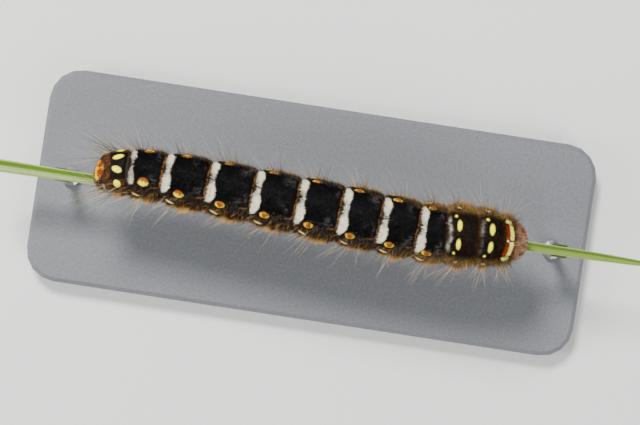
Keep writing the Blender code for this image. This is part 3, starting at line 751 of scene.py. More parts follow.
def mesh_object(name: str, shape: Mesh, tints: Array, smooth: bool = True) -> Shape:
    """Makes a piece whose vertices carry colours.

    Args:
        name: The piece's name.
        shape: Vertices, and faces with the same number of corners each.
        tints: One linear colour, or one a vertex, which the finishes read.
        smooth: Whether it is shaded smooth.

    Returns:
        The new object.
    """
    points, faces = shape
    mesh = bpy.data.meshes.new(name)
    mesh.vertices.add(len(points))
    mesh.vertices.foreach_set("co", np.ascontiguousarray(points, np.float32).ravel())
    mesh.loops.add(faces.size)
    mesh.loops.foreach_set("vertex_index", np.ascontiguousarray(faces, np.int32).ravel())
    mesh.polygons.add(len(faces))
    mesh.polygons.foreach_set("loop_start", np.arange(len(faces), dtype=np.int32) * faces.shape[1])
    mesh.polygons.foreach_set("use_smooth", np.full(len(faces), smooth))
    mesh.update(calc_edges=True)
    mesh.validate()
    layer = mesh.color_attributes.new("tint", "FLOAT_COLOR", "POINT")
    full = np.ones((len(points), 4), np.float32)
    full[:, :3] = np.clip(tints, 0, 1)
    layer.data.foreach_set("color", full.ravel())
    obj = bpy.data.objects.new(name, mesh)
    bpy.context.scene.collection.objects.link(obj)
    return obj


def lay_out(obj: Shape, spots: Array) -> None:
    """Gives each vertex its spot on the skin's unwrap."""
    layer = obj.data.uv_layers.new(name="OFBake")
    corners = np.empty(len(obj.data.loops), np.int32)
    obj.data.loops.foreach_get("vertex_index", corners)
    layer.data.foreach_set("uv", np.ascontiguousarray(spots[corners], np.float32).ravel())


def add_piece(obj: Shape, material: Material, slot: str, *nodes: str) -> None:
    """Dresses a piece, sets it on the model and reports it.

    Args:
        obj: The piece.
        material: Its finish.
        slot: Not used.
        *nodes: The CAD nodes that it stands for.
    """
    obj.data.materials.clear()
    obj.data.materials.append(material)
    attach(obj, "root")
    if nodes:
        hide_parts(*nodes)
    LOG.info("%s: %d faces", obj.name, len(obj.data.polygons))


@dataclass(frozen=True)
class Finish:
    """A finish broken up by fine grain, in two colours or else in the piece's own tint."""

    name: str
    roughness: float = 0.7
    specular: float = 0.3
    variation: float = 0.15
    grain_size: float = 0.15 * MM
    bump: float = 0.0
    colours: tuple[Array, Array] | None = None
    metallic: float = 0.0
    stretch: tuple[float, float, float] = (1.0, 1.0, 1.0)
    rough_spread: float = 0.08
    bump_depth: float = 0.05 * MM
    grain_detail: float = 3.0
    ramp: tuple[float, float] = (0.3, 0.7)

    def material(self) -> Material:
        """Builds the material."""
        made = bpy.data.materials.new(self.name)
        made.use_nodes = True
        nodes, links = made.node_tree.nodes, made.node_tree.links
        shader = nodes["Principled BSDF"]

        def feed(node: bpy.types.Node, **inputs: object) -> bpy.types.Node:
            """Links or sets a node's inputs by name."""
            for name, value in inputs.items():
                socket = node.inputs[name.replace("_", " ")]
                if isinstance(value, bpy.types.NodeSocket):
                    links.new(value, socket)
                else:
                    socket.default_value = value
            return node

        def add(kind: str, **inputs: object) -> bpy.types.Node:
            """Adds a node with its inputs."""
            return feed(nodes.new("ShaderNode" + kind), **inputs)

        place = add("TexCoord").outputs["Object"]
        place = add("Mapping", Vector=place, Scale=self.stretch).outputs["Vector"]
        noise = {"Scale": 1 / self.grain_size, "Detail": self.grain_detail}
        grain = add("TexNoise", Vector=place, **noise).outputs["Fac"]
        if self.colours:
            ramp = add("ValToRGB", Fac=grain)
            for end, position, colour in zip(ramp.color_ramp.elements, self.ramp, self.colours):
                end.position, end.color = position, (*colour, 1)
            feed(shader, Base_Color=ramp.outputs["Color"])
        else:
            tint = add("Attribute")
            tint.attribute_name = "tint"
            dark, pale = 1 - self.variation, 1 + self.variation
            span = add("MapRange", Value=grain, To_Min=dark, To_Max=pale)
            scaled = add("VectorMath")
            scaled.operation = "SCALE"
            feed(scaled, Vector=tint.outputs["Color"], Scale=span.outputs["Result"])
            feed(shader, Base_Color=scaled.outputs["Vector"])
        low, high = self.roughness - self.rough_spread, self.roughness + self.rough_spread
        rough = add("MapRange", Value=grain, To_Min=low, To_Max=high).outputs["Result"]
        feed(shader, Roughness=rough, Specular_IOR_Level=self.specular, Metallic=self.metallic)
        if self.bump:
            relief = add("Bump", Strength=self.bump, Distance=self.bump_depth, Height=grain)
            feed(shader, Normal=relief.outputs["Normal"])
        return made


def sheath(rings: Array, closed: bool = True) -> Mesh:
    """A skin over rings of points that follow each other ahead, with a hub at each end.

    Args:
        rings: Points, by ring and by place round it, turning right-handed about the way back.
        closed: Whether a ring's last point joins its first, rather than lying on it.

    Returns:
        Vertices with the two hubs last, and triangles that face out.
    """
    count, wide = rings.shape[:2]
    round_it = np.arange(wide if closed else wide - 1)
    first = (np.arange(count) * wide)[:, None]
    here, beside = first + round_it, first + (round_it + 1) % wide
    a, b, c, d = here[:-1].ravel(), beside[:-1].ravel(), beside[1:].ravel(), here[1:].ravel()
    rear, front = (np.full(len(round_it), hub) for hub in (count * wide, count * wide + 1))
    faces = [(a, d, c), (a, c, b), (rear, here[0], beside[0]), (front, beside[-1], here[-1])]
    points = np.concatenate([rings.reshape(-1, 3), rings[0].mean(0)[None], rings[-1].mean(0)[None]])
    return points, np.concatenate([np.stack(corners, -1) for corners in faces])


def tube(path: Array, radii: Array, around: int, flatten: float = 1.0) -> Mesh:
    """A closed tube through points.

    Args:
        path: One row a point.
        radii: The radius at each point.
        around: Corners round it.
        flatten: How flat it is, as its thickness over its width.

    Returns:
        Vertices, and triangles.
    """
    ahead = unit(np.gradient(path, axis=0))
    side = unit(np.cross(ahead, OFF_TUBES))
    top = np.cross(side, ahead)
    turn = np.linspace(0, 2 * math.pi, around, endpoint=False)[None, :, None]
    out = np.cos(turn) * side[:, None] + flatten * np.sin(turn) * top[:, None]
    return sheath(path[:, None] + radii[:, None, None] * out)


def joined(parts: list[Mesh]) -> Mesh:
    """Several sets of vertices and faces as one."""
    starts = np.cumsum([0, *(len(points) for points, _ in parts)])
    faces = [some + start for (_, some), start in zip(parts, starts)]
    return np.concatenate([points for points, _ in parts]), np.concatenate(faces)


@dataclass(frozen=True)
class SoftLeg:
    """One proleg or clasper: its middle line, half lengths and depths, and root on the unwrap."""

    node: str
    line: Array
    sizes: Array
    root: Array
    ripple: float = 0.05
    unwrap_scale: tuple[float, float] = (14.0, 9.0)

    def around(self, share: Array, turn: Array) -> tuple[Array, Array, Array]:
        """Places on the leg.

        Args:
            share: How far down the leg each is, from 0 to 1.
            turn: Angles round the leg.

        Returns:
            The points, and unit vectors out of the leg and down it.
        """
        knots = np.arange(len(self.line))
        step = share * knots[-1]
        centre, half = (
            np.stack([np.interp(step, knots, column) for column in rows.T], -1)
            for rows in (self.line, self.sizes)
        )
        half = half * (1 + self.ripple * np.sin(5 * math.pi * share))[:, None]
        down = unit(np.gradient(self.line, axis=0))[np.round(step).astype(int)]
        along = unit(square_to(down, X_AXIS))
        across = np.cross(along, down)
        ahead, aside = np.cos(turn)[:, None] * along, np.sin(turn)[:, None] * across
        long, deep = half[:, :1], half[:, 1:]
        return centre + ahead * long + aside * deep, unit(ahead * deep + aside * long), down

    def unwrap(self, points: Array) -> Array:
        """Spots on the skin's unwrap for points on the leg, near the leg's root."""
        shift = (points[:, [0, 2]] - self.line[0, [0, 2]]) * self.unwrap_scale
        return np.clip(self.root + shift, 0.002, 0.998)


@dataclass
class Skin:
    """The larva's whole soft skin in one piece, with its prolegs and claspers."""

    plan: BodyPlan
    markings: Markings
    along: int = 540
    around: int = 230
    leg_around: int = 28
    coat_depth: float = 0.28 * MM
    crease_depth: float = 0.24 * MM
    crease_sharpness: float = 12
    wrinkle: float = 0.05 * MM
    wrinkle_size: float = 0.55
    flank_wave: float = 0.10 * MM
    flank_wave_size: float = 1.3
    probe: float = 0.25 * MM
    probe_turn: float = 0.06
    finish: Finish = Finish("larva_skin_finish", 0.7, 0.2, 0.25, bump=0.5)
    proleg_rings: tuple[int, ...] = (3, 4, 5, 6)
    proleg_share: float = 0.45
    proleg_angle: float = math.radians(146)
    proleg_half_long: float = 1.0 * MM
    proleg_half_deep: float = 0.68 * MM
    proleg_sunk: float = 0.45
    proleg_sole: float = 0.50
    clasper_sunk: float = 0.50
    clasper_sole: float = 0.45
    leg_knots: tuple[float, ...] = (0, 0.35, 0.62, 0.8, 0.95, 1)
    leg_longs: tuple[float, ...] = (1.10, 0.92, 0.84, 0.95, 0.88, 0.62)
    leg_deeps: tuple[float, ...] = (1.15, 0.88, 0.76, 0.74, 0.66, 0.42)
    tail_clear: float = 0.02 * MM
    tail_crowding: float = 0.03
    neck_run: float = 0.25 * MM
    neck_tuck: float = 0.35
    tuck_before: float = 0.3 * MM
    tuck_length: float = 0.55 * MM

    def surface(self, on: Places) -> Array:
        """Points on the skin."""
        plan = self.plan
        depth = self.crease_depth * np.minimum(1, on.length / plan.deep_fold_ring)
        crease = depth * np.abs(2 * on.past / on.length - 1) ** self.crease_sharpness
        flank = rise_from(58, 80, on.degrees)
        folds = self.wrinkle * (on.grain(21, self.wrinkle_size) - 0.5) * (0.5 + 1.5 * flank)
        folds += self.flank_wave * flank * (on.grain(22, self.flank_wave_size) - 0.5)
        change = self.markings.rise(on) - self.coat_depth - crease + folds
        return plan.place(on, plan.reach(on) + change * plan.taper(on.at))

    def facing(self, on: Places) -> Array:
        """Unit vectors straight out of the skin."""
        step, turn = self.probe, self.probe_turn
        stay = np.clip(on.at, self.plan.tail + step, self.plan.neck - step)

        def near(ahead: float, round_it: float) -> Array:
            """Points a little way off."""
            return self.surface(self.plan.places(stay + ahead, on.angle + round_it))

        return unit(np.cross(near(step, 0) - near(-step, 0), near(0, turn) - near(0, -turn)))

    def unwrap(self, on: Places) -> Array:
        """Spots on the skin's unwrap, from 0 to 1 both ways."""
        share = (on.at - self.plan.tail) / (self.plan.neck - self.plan.tail)
        return np.stack([unwrapped(share), unwrapped_turn(on.angle)], -1)

    def _body(self) -> tuple[Mesh, Array, Array]:
        """The trunk as a mesh, its tints and its spots on the unwrap."""
        plan = self.plan
        rows = np.linspace(0, 1, self.along)
        start = plan.tail + self.tail_clear
        share = self.tail_crowding * rows * rows + (1 - self.tail_crowding) * rows
        at = start + (plan.neck + self.neck_run - start) * share
        at, turn = pairs(at, np.linspace(-math.pi, math.pi, self.around + 1))
        on = plan.places(np.minimum(at, plan.neck - 0.02 * MM), turn)
        points = self.surface(on)
        drop = np.clip((at - plan.neck + self.tuck_before) / self.tuck_length, 0, 1)[:, None]
        points = points + (plan.middle(at) - points) * self.neck_tuck * drop * drop
        points[:, 0] += at - on.at
        tints, spots = self.markings.colour(on), self.unwrap(on)
        body = sheath(points.reshape(self.along, self.around + 1, 3), closed=False)
        hubs = [self.around // 2, len(at) - 1 - self.around // 2]
        return body, np.concatenate([tints, tints[hubs]]), np.concatenate([spots, spots[hubs]])

    @cached_property
    def legs(self) -> list[SoftLeg]:
        """The prolegs and claspers."""
        found, plan, roots = [], self.plan, []
        for number in self.proleg_rings:
            root_at = plan.station(f"abdomen_{number}", self.proleg_share)
            roots.append((f"proleg_{number}", root_at, self.proleg_sunk, self.proleg_sole))
        root_at = float(plan.folds[1] - 0.1 * MM)
        roots.append(("clasper", root_at, self.clasper_sunk, self.clasper_sole))
        for name, root_at, sunk, sole_share in roots:
            for side, sign in SIDES:
                low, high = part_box(f"{name}_{side}")
                on = plan.places(root_at, sign * self.proleg_angle)
                root = self.surface(on)[0] - self.facing(on)[0] * sunk * MM
                edge = low.y if sign > 0 else high.y
                sole_x = low.x + sole_share * (high.x - low.x)
                foot = np.array([sole_x, edge + sign * 0.50 * MM, low.z + 0.06 * MM])
                line, sizes = self._leg_line(root, foot, sign)
                found.append(SoftLeg(f"{name}_{side}", line, sizes, self.unwrap(on)))
        return found

    def _leg_line(self, root: Array, foot: Array, sign: int) -> tuple[Array, Array]:
        """The middle line and the half lengths and depths of one soft leg.

        Args:
            root: Where it leaves the body.
            foot: The middle of its sole.
            sign: 1 on the left and -1 on the right.

        Returns:
            Points, and sizes.
        """
        steps = np.linspace(0, 1, 16)
        s = steps[:, None]
        knee = (root + foot) / 2 + np.array([0.0, sign * 0.45 * MM, 0.0])
        line = (1 - s) ** 2 * root + 2 * s * (1 - s) * knee + s * s * foot
        long = self.proleg_half_long * np.interp(steps, self.leg_knots, self.leg_longs)
        deep = self.proleg_half_deep * np.interp(steps, self.leg_knots, self.leg_deeps)
        return line, np.stack([long, deep], -1)

    def _leg_mesh(self, leg: SoftLeg) -> tuple[Mesh, Array, Array]:
        """A soft leg as a mesh, its tints and its spots on the unwrap."""
        rows = np.linspace(0, 1, 46)
        turn = np.linspace(0, 2 * math.pi, self.leg_around, endpoint=False)
        share, turn = pairs(rows, turn)
        points, out, _ = leg.around(share, turn)
        skin_grain = Grain(32, 0.16 * MM)(points[:, 0] + points[:, 1], points[:, 2] * 2.5) - 0.5
        points = points + out * skin_grain[:, None] * 0.05 * MM
        leg_mesh = sheath(points.reshape(len(rows), self.leg_around, 3))
        points = leg_mesh[0]
        rise = (points[:, 2] - leg.line[-1, 2]) / (leg.line[0, 2] - leg.line[-1, 2])
        tone = mottled(Dye.BELLY, 0.65, 0.6, Grain(31, 0.35 * MM)(points[:, 0], points[:, 2]))
        tone = blend(tone, Dye.CHESTNUT * 0.8, 0.6 * fall_from(0.02, 0.22, rise))
        plate = rise_from(0.30, 0.36, rise) * fall_from(0.50, 0.56, rise)
        return leg_mesh, blend(tone, Dye.SOOT * 2, plate * 0.5), leg.unwrap(points)

    def build(self) -> None:
        """Builds and dresses the skin."""
        parts = [self._body(), *map(self._leg_mesh, self.legs)]
        shapes, tints, spots = zip(*parts)
        obj = mesh_object("larva_skin", joined(list(shapes)), np.concatenate(tints))
        lay_out(obj, np.concatenate(spots))
        rings = [ring.node for ring in self.plan.rings]
        add_piece(obj, self.finish.material(), "skin", *rings, *(leg.node for leg in self.legs))


@dataclass(frozen=True)
class Growth(Columns):
    """Where and how one kind of hair grows, one row or number a hair, in metres."""

    roots: Array
    lie: Array
    bend: Array
    length: Array
    radius: Array
    colour: Array
    spots: Array


@dataclass(frozen=True)
class Hairs:
    """Makes hairs as thin solid spikes in one mesh, each a small patch on the unwrap."""

    sections: int = 3
    tip_pale: float = 0.0
    # How much darker each hair is at its root: painted shade deep in the coat, between the hairs.
    root_dark: float = 0.15
    thinning: float = 0.6
    patch: float = 0.003

    def build(self, name: str, growth: Growth, finish: Material) -> None:
        """Builds one piece of the coat.

        Args:
            name: The piece's name.
            growth: The hairs.
            finish: Its material.
        """
        levels = self.sections
        steps = np.arange(levels) / levels
        side = unit(np.cross(growth.lie, OFF_HAIRS))
        top = np.cross(growth.lie, side)
        turn = np.array([0, 2, 4]) * math.pi / 3
        across, upward = (wave(turn)[None, :, None] for wave in (np.cos, np.sin))
        ring = across * side[:, None] + upward * top[:, None]
        long, rows = growth.length[:, None], []
        for step in steps:
            centre = growth.roots + long * (step * growth.lie + step * step * growth.bend)
            thick = growth.radius[:, None, None] * (1 - step) ** self.thinning
            rows.append(centre[:, None] + thick * ring)
        tip = growth.roots + long * (growth.lie + growth.bend)
        points = np.concatenate([*rows, tip[:, None]], axis=1)
        corners = []
        for low in range(0, 3 * levels, 3):
            for a, b in ((low, low + 1), (low + 1, low + 2), (low + 2, low)):
                top_end = low + 3 == 3 * levels
                corners += [(a, b, low + 3)] if top_end else [(a, b, b + 3), (a, b + 3, a + 3)]
        first = np.arange(len(points))[:, None, None] * points.shape[1]
        faces = (first + np.array(corners)[None]).reshape(-1, 3)
        height = np.concatenate([np.repeat(steps, 3), [1.0]])[None, :, None]
        # Painted shade: each hair darkens towards its root, where the coat shades itself.
        colours = growth.colour[:, None] * (1 - self.root_dark * (1 - height) ** 2)
        colours = colours + (Dye.HAIR_TIP - colours) * (self.tip_pale * height**2)
        shape = points.reshape(-1, 3), faces
        obj = mesh_object(name, shape, colours.reshape(-1, 3), smooth=False)
        turn = np.concatenate([np.tile(turn, levels), [0.0]])
        reach = self.patch / 2 * np.concatenate([np.repeat(1 - 0.9 * steps, 3), [0.02]])
        patch = np.stack([np.cos(turn), np.sin(turn)], -1) * reach[:, None]
        lay_out(obj, (growth.spots[:, None] + patch[None]).reshape(-1, 2))
        add_piece(obj, finish, "coat")


@dataclass(frozen=True)
class HairGroup:
    """A group of long hairs on each side of each ring, in degrees and millimetres.

    A hair takes the first dye, or the second for the second share, and tilts by its shares back
    towards the tail and down the flank. The tail share makes hairs longer near the tail.
    """

    each: int
    shares: tuple[float, float]
    angles: tuple[float, float]
    lengths: tuple[float, float]
    back: tuple[float, float]
    down: float
    spread: float
    droop: float
    tail_share: float
    radii: tuple[float, float]
    dyes: tuple[Array, Array]
    second_share: float
    tip_pale: float = 0.0
    banded_only: bool = False


def hair_groups() -> dict[str, HairGroup]:
    """The groups of long hairs, by the names of their pieces."""
    return {
        "long_pale_hairs": HairGroup(
            18, (0.08, 0.62), (88, 108), (1.8, 5.8), (0.05, 1.05), -0.12, 0.25, 0.10,
            0.35, (0.011, 0.021), (Dye.STRAW, Dye.BARK), 0.40, 0.1,
        ),
        "long_brown_hairs": HairGroup(
            46, (0.05, 0.95), (66, 118), (0.9, 2.3), (-0.1, 0.9), 0.05, 0.26, 0.10,
            0.5, (0.013, 0.021), (Dye.SOOT, Dye.STRAW * 0.6), 0.40,
        ),
        "dark_bristles": HairGroup(
            20, (0.22, 0.56), (46, 78), (1.2, 3.6), (-0.5, 0.7), -0.05, 0.24, 0.02,
            0.4, (0.020, 0.032), (Dye.SOOT, Dye.BARK), 0.35,
        ),
        "side_fuzz": HairGroup(
            130, (0.02, 0.98), (70, 92), (0.5, 1.25), (-0.2, 0.9), -0.25, 0.16, 0.0,
            0.1, (0.014, 0.021), (Dye.GOLD, Dye.BARK * 0.8), 0.74, 0.08, banded_only=True,
        ),
        "shoulder_fuzz": HairGroup(
            300, (0.30, 0.98), (44, 72), (0.45, 0.95), (-0.3, 0.9), -0.1, 0.16, 0.0,
            0.1, (0.014, 0.022), (Dye.SOOT, Dye.SMOKE), 0.35, banded_only=True,
        ),
    }


@dataclass
class Coat:
    """The larva's coat: short velvet, side fringe, long fine hairs and the belly's down.

    Angles are degrees from the middle of the back. Ranges of length and radius, and what the
    velvet gains on its blocks, bands, flanks and front rings, are millimetres.
    """

    skin: Skin
    seed: int = 4
    velvet_count: int = 150000
    velvet_limit: float = 100
    fringe_count: int = 19000
    fringe_tufts: int = 1500
    tail_hair_count: int = 120
    mane_count: int = 3200
    down_count: int = 26000
    tail_down_count: int = 2200
    leg_down_each: int = 420
    hooks_each: int = 30
    velvet_length: float = 0.28
    velvet_radii: tuple[float, float] = (0.020, 0.034)
    block_extra: float = 0.10
    band_extra: float = 0.12
    flank_extra: float = 0.22
    front_extra: float = 0.12
    spot_bareness: float = 0.76
    tail_bareness: float = 0.45
    stray_share: float = 0.03
    stray_stretch: float = 1.8
    sandy_from: float = 19 * MM
    sandy_to: float = 12 * MM
    fringe_angles: tuple[float, float] = (92, 126)
    fringe_length: float = 0.62
    fringe_swell: float = 0.55
    fringe_radii: tuple[float, float] = (0.020, 0.032)
    tuft_width: float = 0.17
    tuft_pull: float = 0.55
    tail_hair_angles: tuple[float, float] = (58, 118)
    tail_hair_lengths: tuple[float, float] = (2.0, 7.0)
    tail_hair_radii: tuple[float, float] = (0.015, 0.024)
    mane_angles: tuple[float, float] = (0, 150)
    mane_lengths: tuple[float, float] = (0.55, 1.15)
    mane_radii: tuple[float, float] = (0.013, 0.024)
    down_angles: tuple[float, float] = (96, 180)
    down_lengths: tuple[float, float] = (0.28, 0.66)
    down_radii: tuple[float, float] = (0.018, 0.026)
    leg_down_lengths: tuple[float, float] = (0.15, 0.45)
    leg_down_radius: float = 0.020 * MM
    hook_lengths: tuple[float, float] = (0.11, 0.16)
    hook_radius: float = 0.026 * MM
    groups: dict[str, HairGroup] = field(default_factory=hair_groups)

    def __post_init__(self) -> None:
        """Starts the random numbers and makes the finishes."""
        self.random = np.random.default_rng(self.seed)
        self.velvet_finish = Finish("velvet_coat", 0.85, 0.10, 0.18).material()
        self.hair_finish = Finish("fringe_coat", 0.5, 0.35).material()

    def _scatter(
        self, count: int, low: float, high: float, edge: float = 0.05
    ) -> tuple[Array, Array]:
        """Random stations and angles on both flanks.

        Args:
            count: How many.
            low: The smaller angle from the back, in degrees.
            high: The larger angle.
            edge: How far from the tail's end they stop, in millimetres.

        Returns:
            Stations, and angles.
        """
        plan = self.skin.plan
        at = self.random.uniform(plan.tail + edge * MM, plan.neck - 0.02 * MM, count)
        return at, self._sides(count) * np.radians(self.random.uniform(low, high, count))

    def _sides(self, count: int) -> Array:
        """1 for the left or -1 for the right, at random."""
        return self.random.choice([-1.0, 1.0], count)

    def _mixed(self, count: int, *dyes: tuple[float, Array]) -> Array:
        """Picks each hair one of some dyes.

        Args:
            count: How many hairs.
            *dyes: The share up to which each dye holds, and its colour.

        Returns:
            One colour a hair.
        """
        pick = np.searchsorted([limit for limit, _ in dyes], self.random.random(count))
        return np.array([colour for _, colour in dyes])[np.minimum(pick, len(dyes) - 1)]

    def _grow(
        self,
        on: Places,
        tilt: tuple[Array, Array, Array],
        length: Array,
        radius: tuple[float, float],
        colour: Array,
        bend: Array | float = 0.0,
        uneven: tuple[float, float] = (0.75, 1.2),
    ) -> Growth:
        """Hairs on the skin.

        Args:
            on: Where they root.
            tilt: How far each leans back, down the flank and out.
            length: Their lengths in millimetres.
            radius: The least and greatest radius in millimetres.
            colour: Their colours.
            bend: How they curve, as shares of their lengths.
            uneven: The darkest and palest shade of a hair's colour.

        Returns:
            The hairs.
        """
        count, random = len(on.at), self.random
        back, down, out = (np.broadcast_to(share, count)[:, None] for share in tilt)
        normal = self.skin.facing(on)
        ahead, _, _ = self.skin.plan.axes(on.at)
        ahead = unit(square_to(normal, ahead))
        round_it = np.cross(normal, ahead) * -np.sign(on.angle)[:, None]
        return Growth(
            roots=self.skin.surface(on) - normal * 0.05 * MM,
            lie=unit(out * normal - back * ahead - down * round_it),
            bend=np.broadcast_to(bend, (count, 3)),
            length=length * MM,
            radius=random.uniform(*radius, count) * MM,
            colour=colour * random.uniform(*uneven, count)[:, None],
            spots=self.skin.unwrap(on),
        )

    def velvet(self) -> None:
        """Grows the short dense hair of the back and upper flanks."""
        plan, markings, random = self.skin.plan, self.skin.markings, self.random
        on = plan.places(*self._scatter(self.velvet_count, 0, self.velvet_limit))
        count, degrees = len(on.at), on.degrees
        band, spots, front = markings.band(on)[0], markings.bareness(on), markings.front(on)
        length = self.velvet_length + self.block_extra * markings.block(on)[0]
        length = length + self.band_extra * band + self.flank_extra * rise_from(62, 90, degrees)
        length = length + self.front_extra * front
        length = length * random.uniform(0.7, 1.3, count) * (1 - self.spot_bareness * spots)
        length = length * (1 - self.tail_bareness * markings.within(on, Part.TAIL))
        stray = random.random(count) < self.stray_share * (1 - spots)
        length = np.where(stray, length * self.stray_stretch, length)
        back = random.normal(0.45, 0.30, count) + 0.25 * band
        down = random.normal(0.15, 0.30, count) + 0.35 * rise_from(40, 80, degrees)
        golden = rise_from(46, 74, degrees) * (random.random(count) < 0.62)
        near_head = rise_from(plan.neck - self.sandy_from, plan.neck - self.sandy_to, on.at)
        sandy = Dye.GOLD * 0.6 + Dye.STRAW * 0.25
        golden = golden * (1 - markings.within(on, Part.COLLAR) * fall_from(63, 67, degrees))
        colour = blend(markings.colour(on), sandy, golden * near_head * (1 - spots) * 0.85)
        colour = blend(colour, Dye.BARK, front * (1 - spots) * (random.random(count) < 0.06) * 0.8)
        colour = colour * (1 + random.uniform(-0.25, 0.3, count) * (1 - 0.8 * band))[:, None]
        tilt = (back, down, 0.8)
        growth = self._grow(on, tilt, length, self.velvet_radii, colour, uneven=(1.0, 1.0))
        ends = np.linspace(plan.tail, plan.neck, 4)
        for number, (start, end) in enumerate(zip(ends[:-1], ends[1:]), 1):
            chosen = growth.pick((on.at >= start) & (on.at < end))
            Hairs(1, root_dark=0.18).build(f"velvet_coat_{number}", chosen, self.velvet_finish)

    def fringe(self) -> None:
        """Grows the golden side fringe in tufts along both flanks."""
        plan, random, skin, tufts = self.skin.plan, self.random, self.skin, self.fringe_tufts
        tuft_at, tuft_angle = self._scatter(tufts, *self.fringe_angles, edge=0.3)
        reach, tone = random.uniform(0.75, 1.25, tufts), random.random(tufts)
        tuft_back, tuft_down = random.normal(0.35, 0.25, tufts), random.normal(0.25, 0.22, tufts)
        owner = random.integers(0, tufts, self.fringe_count)
        count = len(owner)
        at = tuft_at[owner] + random.normal(0, self.tuft_width, count) * MM
        at = np.clip(at, plan.tail + 0.1 * MM, plan.neck - 0.1 * MM)
        on = plan.places(at, tuft_angle[owner] + random.normal(0, 0.035, count))
        middle = hump(on.past / on.length - 0.6, 0.27)
        length = (self.fringe_length + self.fringe_swell * middle) * reach[owner]
        length = length * random.uniform(0.6, 1.2, count)
        length = length * (1 + 0.3 * skin.markings.front(on))
        length = length * (1 - 0.3 * rise_from(112, 124, on.degrees))
        length = length * (0.7 + 0.3 * rise_from(plan.tail, plan.tail + 3 * MM, on.at))
        inward = skin.surface(plan.places(tuft_at, tuft_angle))[owner] - skin.surface(on)
        bend = inward / (length[:, None] * MM) * self.tuft_pull
        bend = bend + np.array([-0.10, 0.0, -0.16]) * random.uniform(0.3, 1.3, count)[:, None]
        golden = np.clip(0.12 + 0.76 * middle + 0.7 * (tone[owner] - 0.5), 0, 1)
        colour = blend(Dye.BARK, Dye.GOLD, golden)
        colour = np.where((random.random(count) < 0.08)[:, None], Dye.STRAW * 0.9, colour)
        back = tuft_back[owner] + random.normal(0, 0.10, count)
        down = tuft_down[owner] + random.normal(0, 0.10, count)
        tilt = (back, down, 0.9)
        growth = self._grow(on, tilt, length, self.fringe_radii, colour, bend, (0.65, 1.3))
        for side, chosen in (("left", on.angle > 0), ("right", on.angle < 0)):
            Hairs(3, 0.04, 0.66).build(f"fringe_{side}", growth.pick(chosen), self.hair_finish)

    def long_hairs(self, name: str, group: HairGroup) -> None:
        """Grows one group of long hairs on both sides of the rings.

        Args:
            name: The piece's name.
            group: What the hairs are like.
        """
        plan, random = self.skin.plan, self.random
        kinds = {Part.BANDED} if group.banded_only else set(Part) - {Part.TAIL}
        rings = [number for number, ring in enumerate(plan.rings) if ring.part in kinds]
        ring = np.repeat(rings, 2 * group.each)
        count = len(ring)
        side = np.tile(np.repeat([1.0, -1.0], group.each), len(rings))
        at = plan.folds[ring] + random.uniform(*group.shares, count) * plan.lengths[ring]
        turn = side * np.radians(random.uniform(*group.angles, count))
        on = plan.places(np.minimum(at, plan.neck - 0.1 * MM), turn)
        rear = fall_from(plan.tail + 2 * MM, plan.tail + 9 * MM, on.at)
        front = rise_from(plan.neck - 7 * MM, plan.neck, on.at)
        length = random.uniform(*group.lengths, count) * (1 + group.tail_share * rear)
        back = random.uniform(*group.back, count) + 0.8 * rear - 0.7 * front
        down = random.normal(group.down, group.spread, count)
        bend = random.uniform(0.1, 1.2, count)[:, None] * np.array([-0.08, 0.0, -group.droop])
        bend = bend + random.normal(0, 0.05, (count, 3))
        colour = self._mixed(count, (1 - group.second_share, group.dyes[0]), (1, group.dyes[1]))
        growth = self._grow(on, (back, down, 1.0), length, group.radii, colour, bend)
        clear = growth.pick(self.skin.markings.bareness(on) < 0.8)
        Hairs(4, group.tip_pale).build(name, clear, self.hair_finish)

    def tail_hairs(self) -> None:
        """Grows the longest hairs, which trail behind the tail."""
        plan, random, count = self.skin.plan, self.random, self.tail_hair_count
        at = random.uniform(plan.tail + 0.3 * MM, plan.tail + 4.5 * MM, count)
        turn = np.radians(random.uniform(*self.tail_hair_angles, count)) * self._sides(count)
        on = plan.places(at, turn)
        tilt = (random.uniform(0.6, 2.2, count), random.normal(-0.05, 0.25, count), 1.0)
        colour = self._mixed(count, (0.55, Dye.SOOT), (1, Dye.STRAW * 0.75))
        bend = random.normal(0, 0.08, (count, 3)) + np.array([-0.12, 0.0, -0.05])
        length = random.uniform(*self.tail_hair_lengths, count)
        growth = self._grow(on, tilt, length, self.tail_hair_radii, colour, bend)
        Hairs(5).build("tail_hairs", growth, self.hair_finish)

    def mane(self) -> None:
        """Grows the stiff brown hair that leans forward over the fold behind the head."""
        plan, random, count = self.skin.plan, self.random, self.mane_count
        at = plan.neck - random.uniform(0.05, 0.85, count) * MM
        turn = np.radians(random.uniform(*self.mane_angles, count)) * self._sides(count)
        on = plan.places(at, turn)
        back, down = random.normal(-1.1, 0.30, count), random.normal(0, 0.15, count)
        tilt = (back, down, random.uniform(0.35, 0.85, count))
        colour = self._mixed(
            count,
            (0.38, Dye.CHESTNUT * 0.35),
            (0.66, Dye.GINGER),
            (0.80, Dye.BARK),
            (0.93, Dye.GOLD),
            (1, Dye.STRAW * 0.8),
        )
        bend = random.normal(0, 0.05, (count, 3))
        length = random.uniform(*self.mane_lengths, count)
        growth = self._grow(on, tilt, length, self.mane_radii, colour, bend)
        Hairs(3, 0.12, 0.3).build("mane", growth, self.hair_finish)

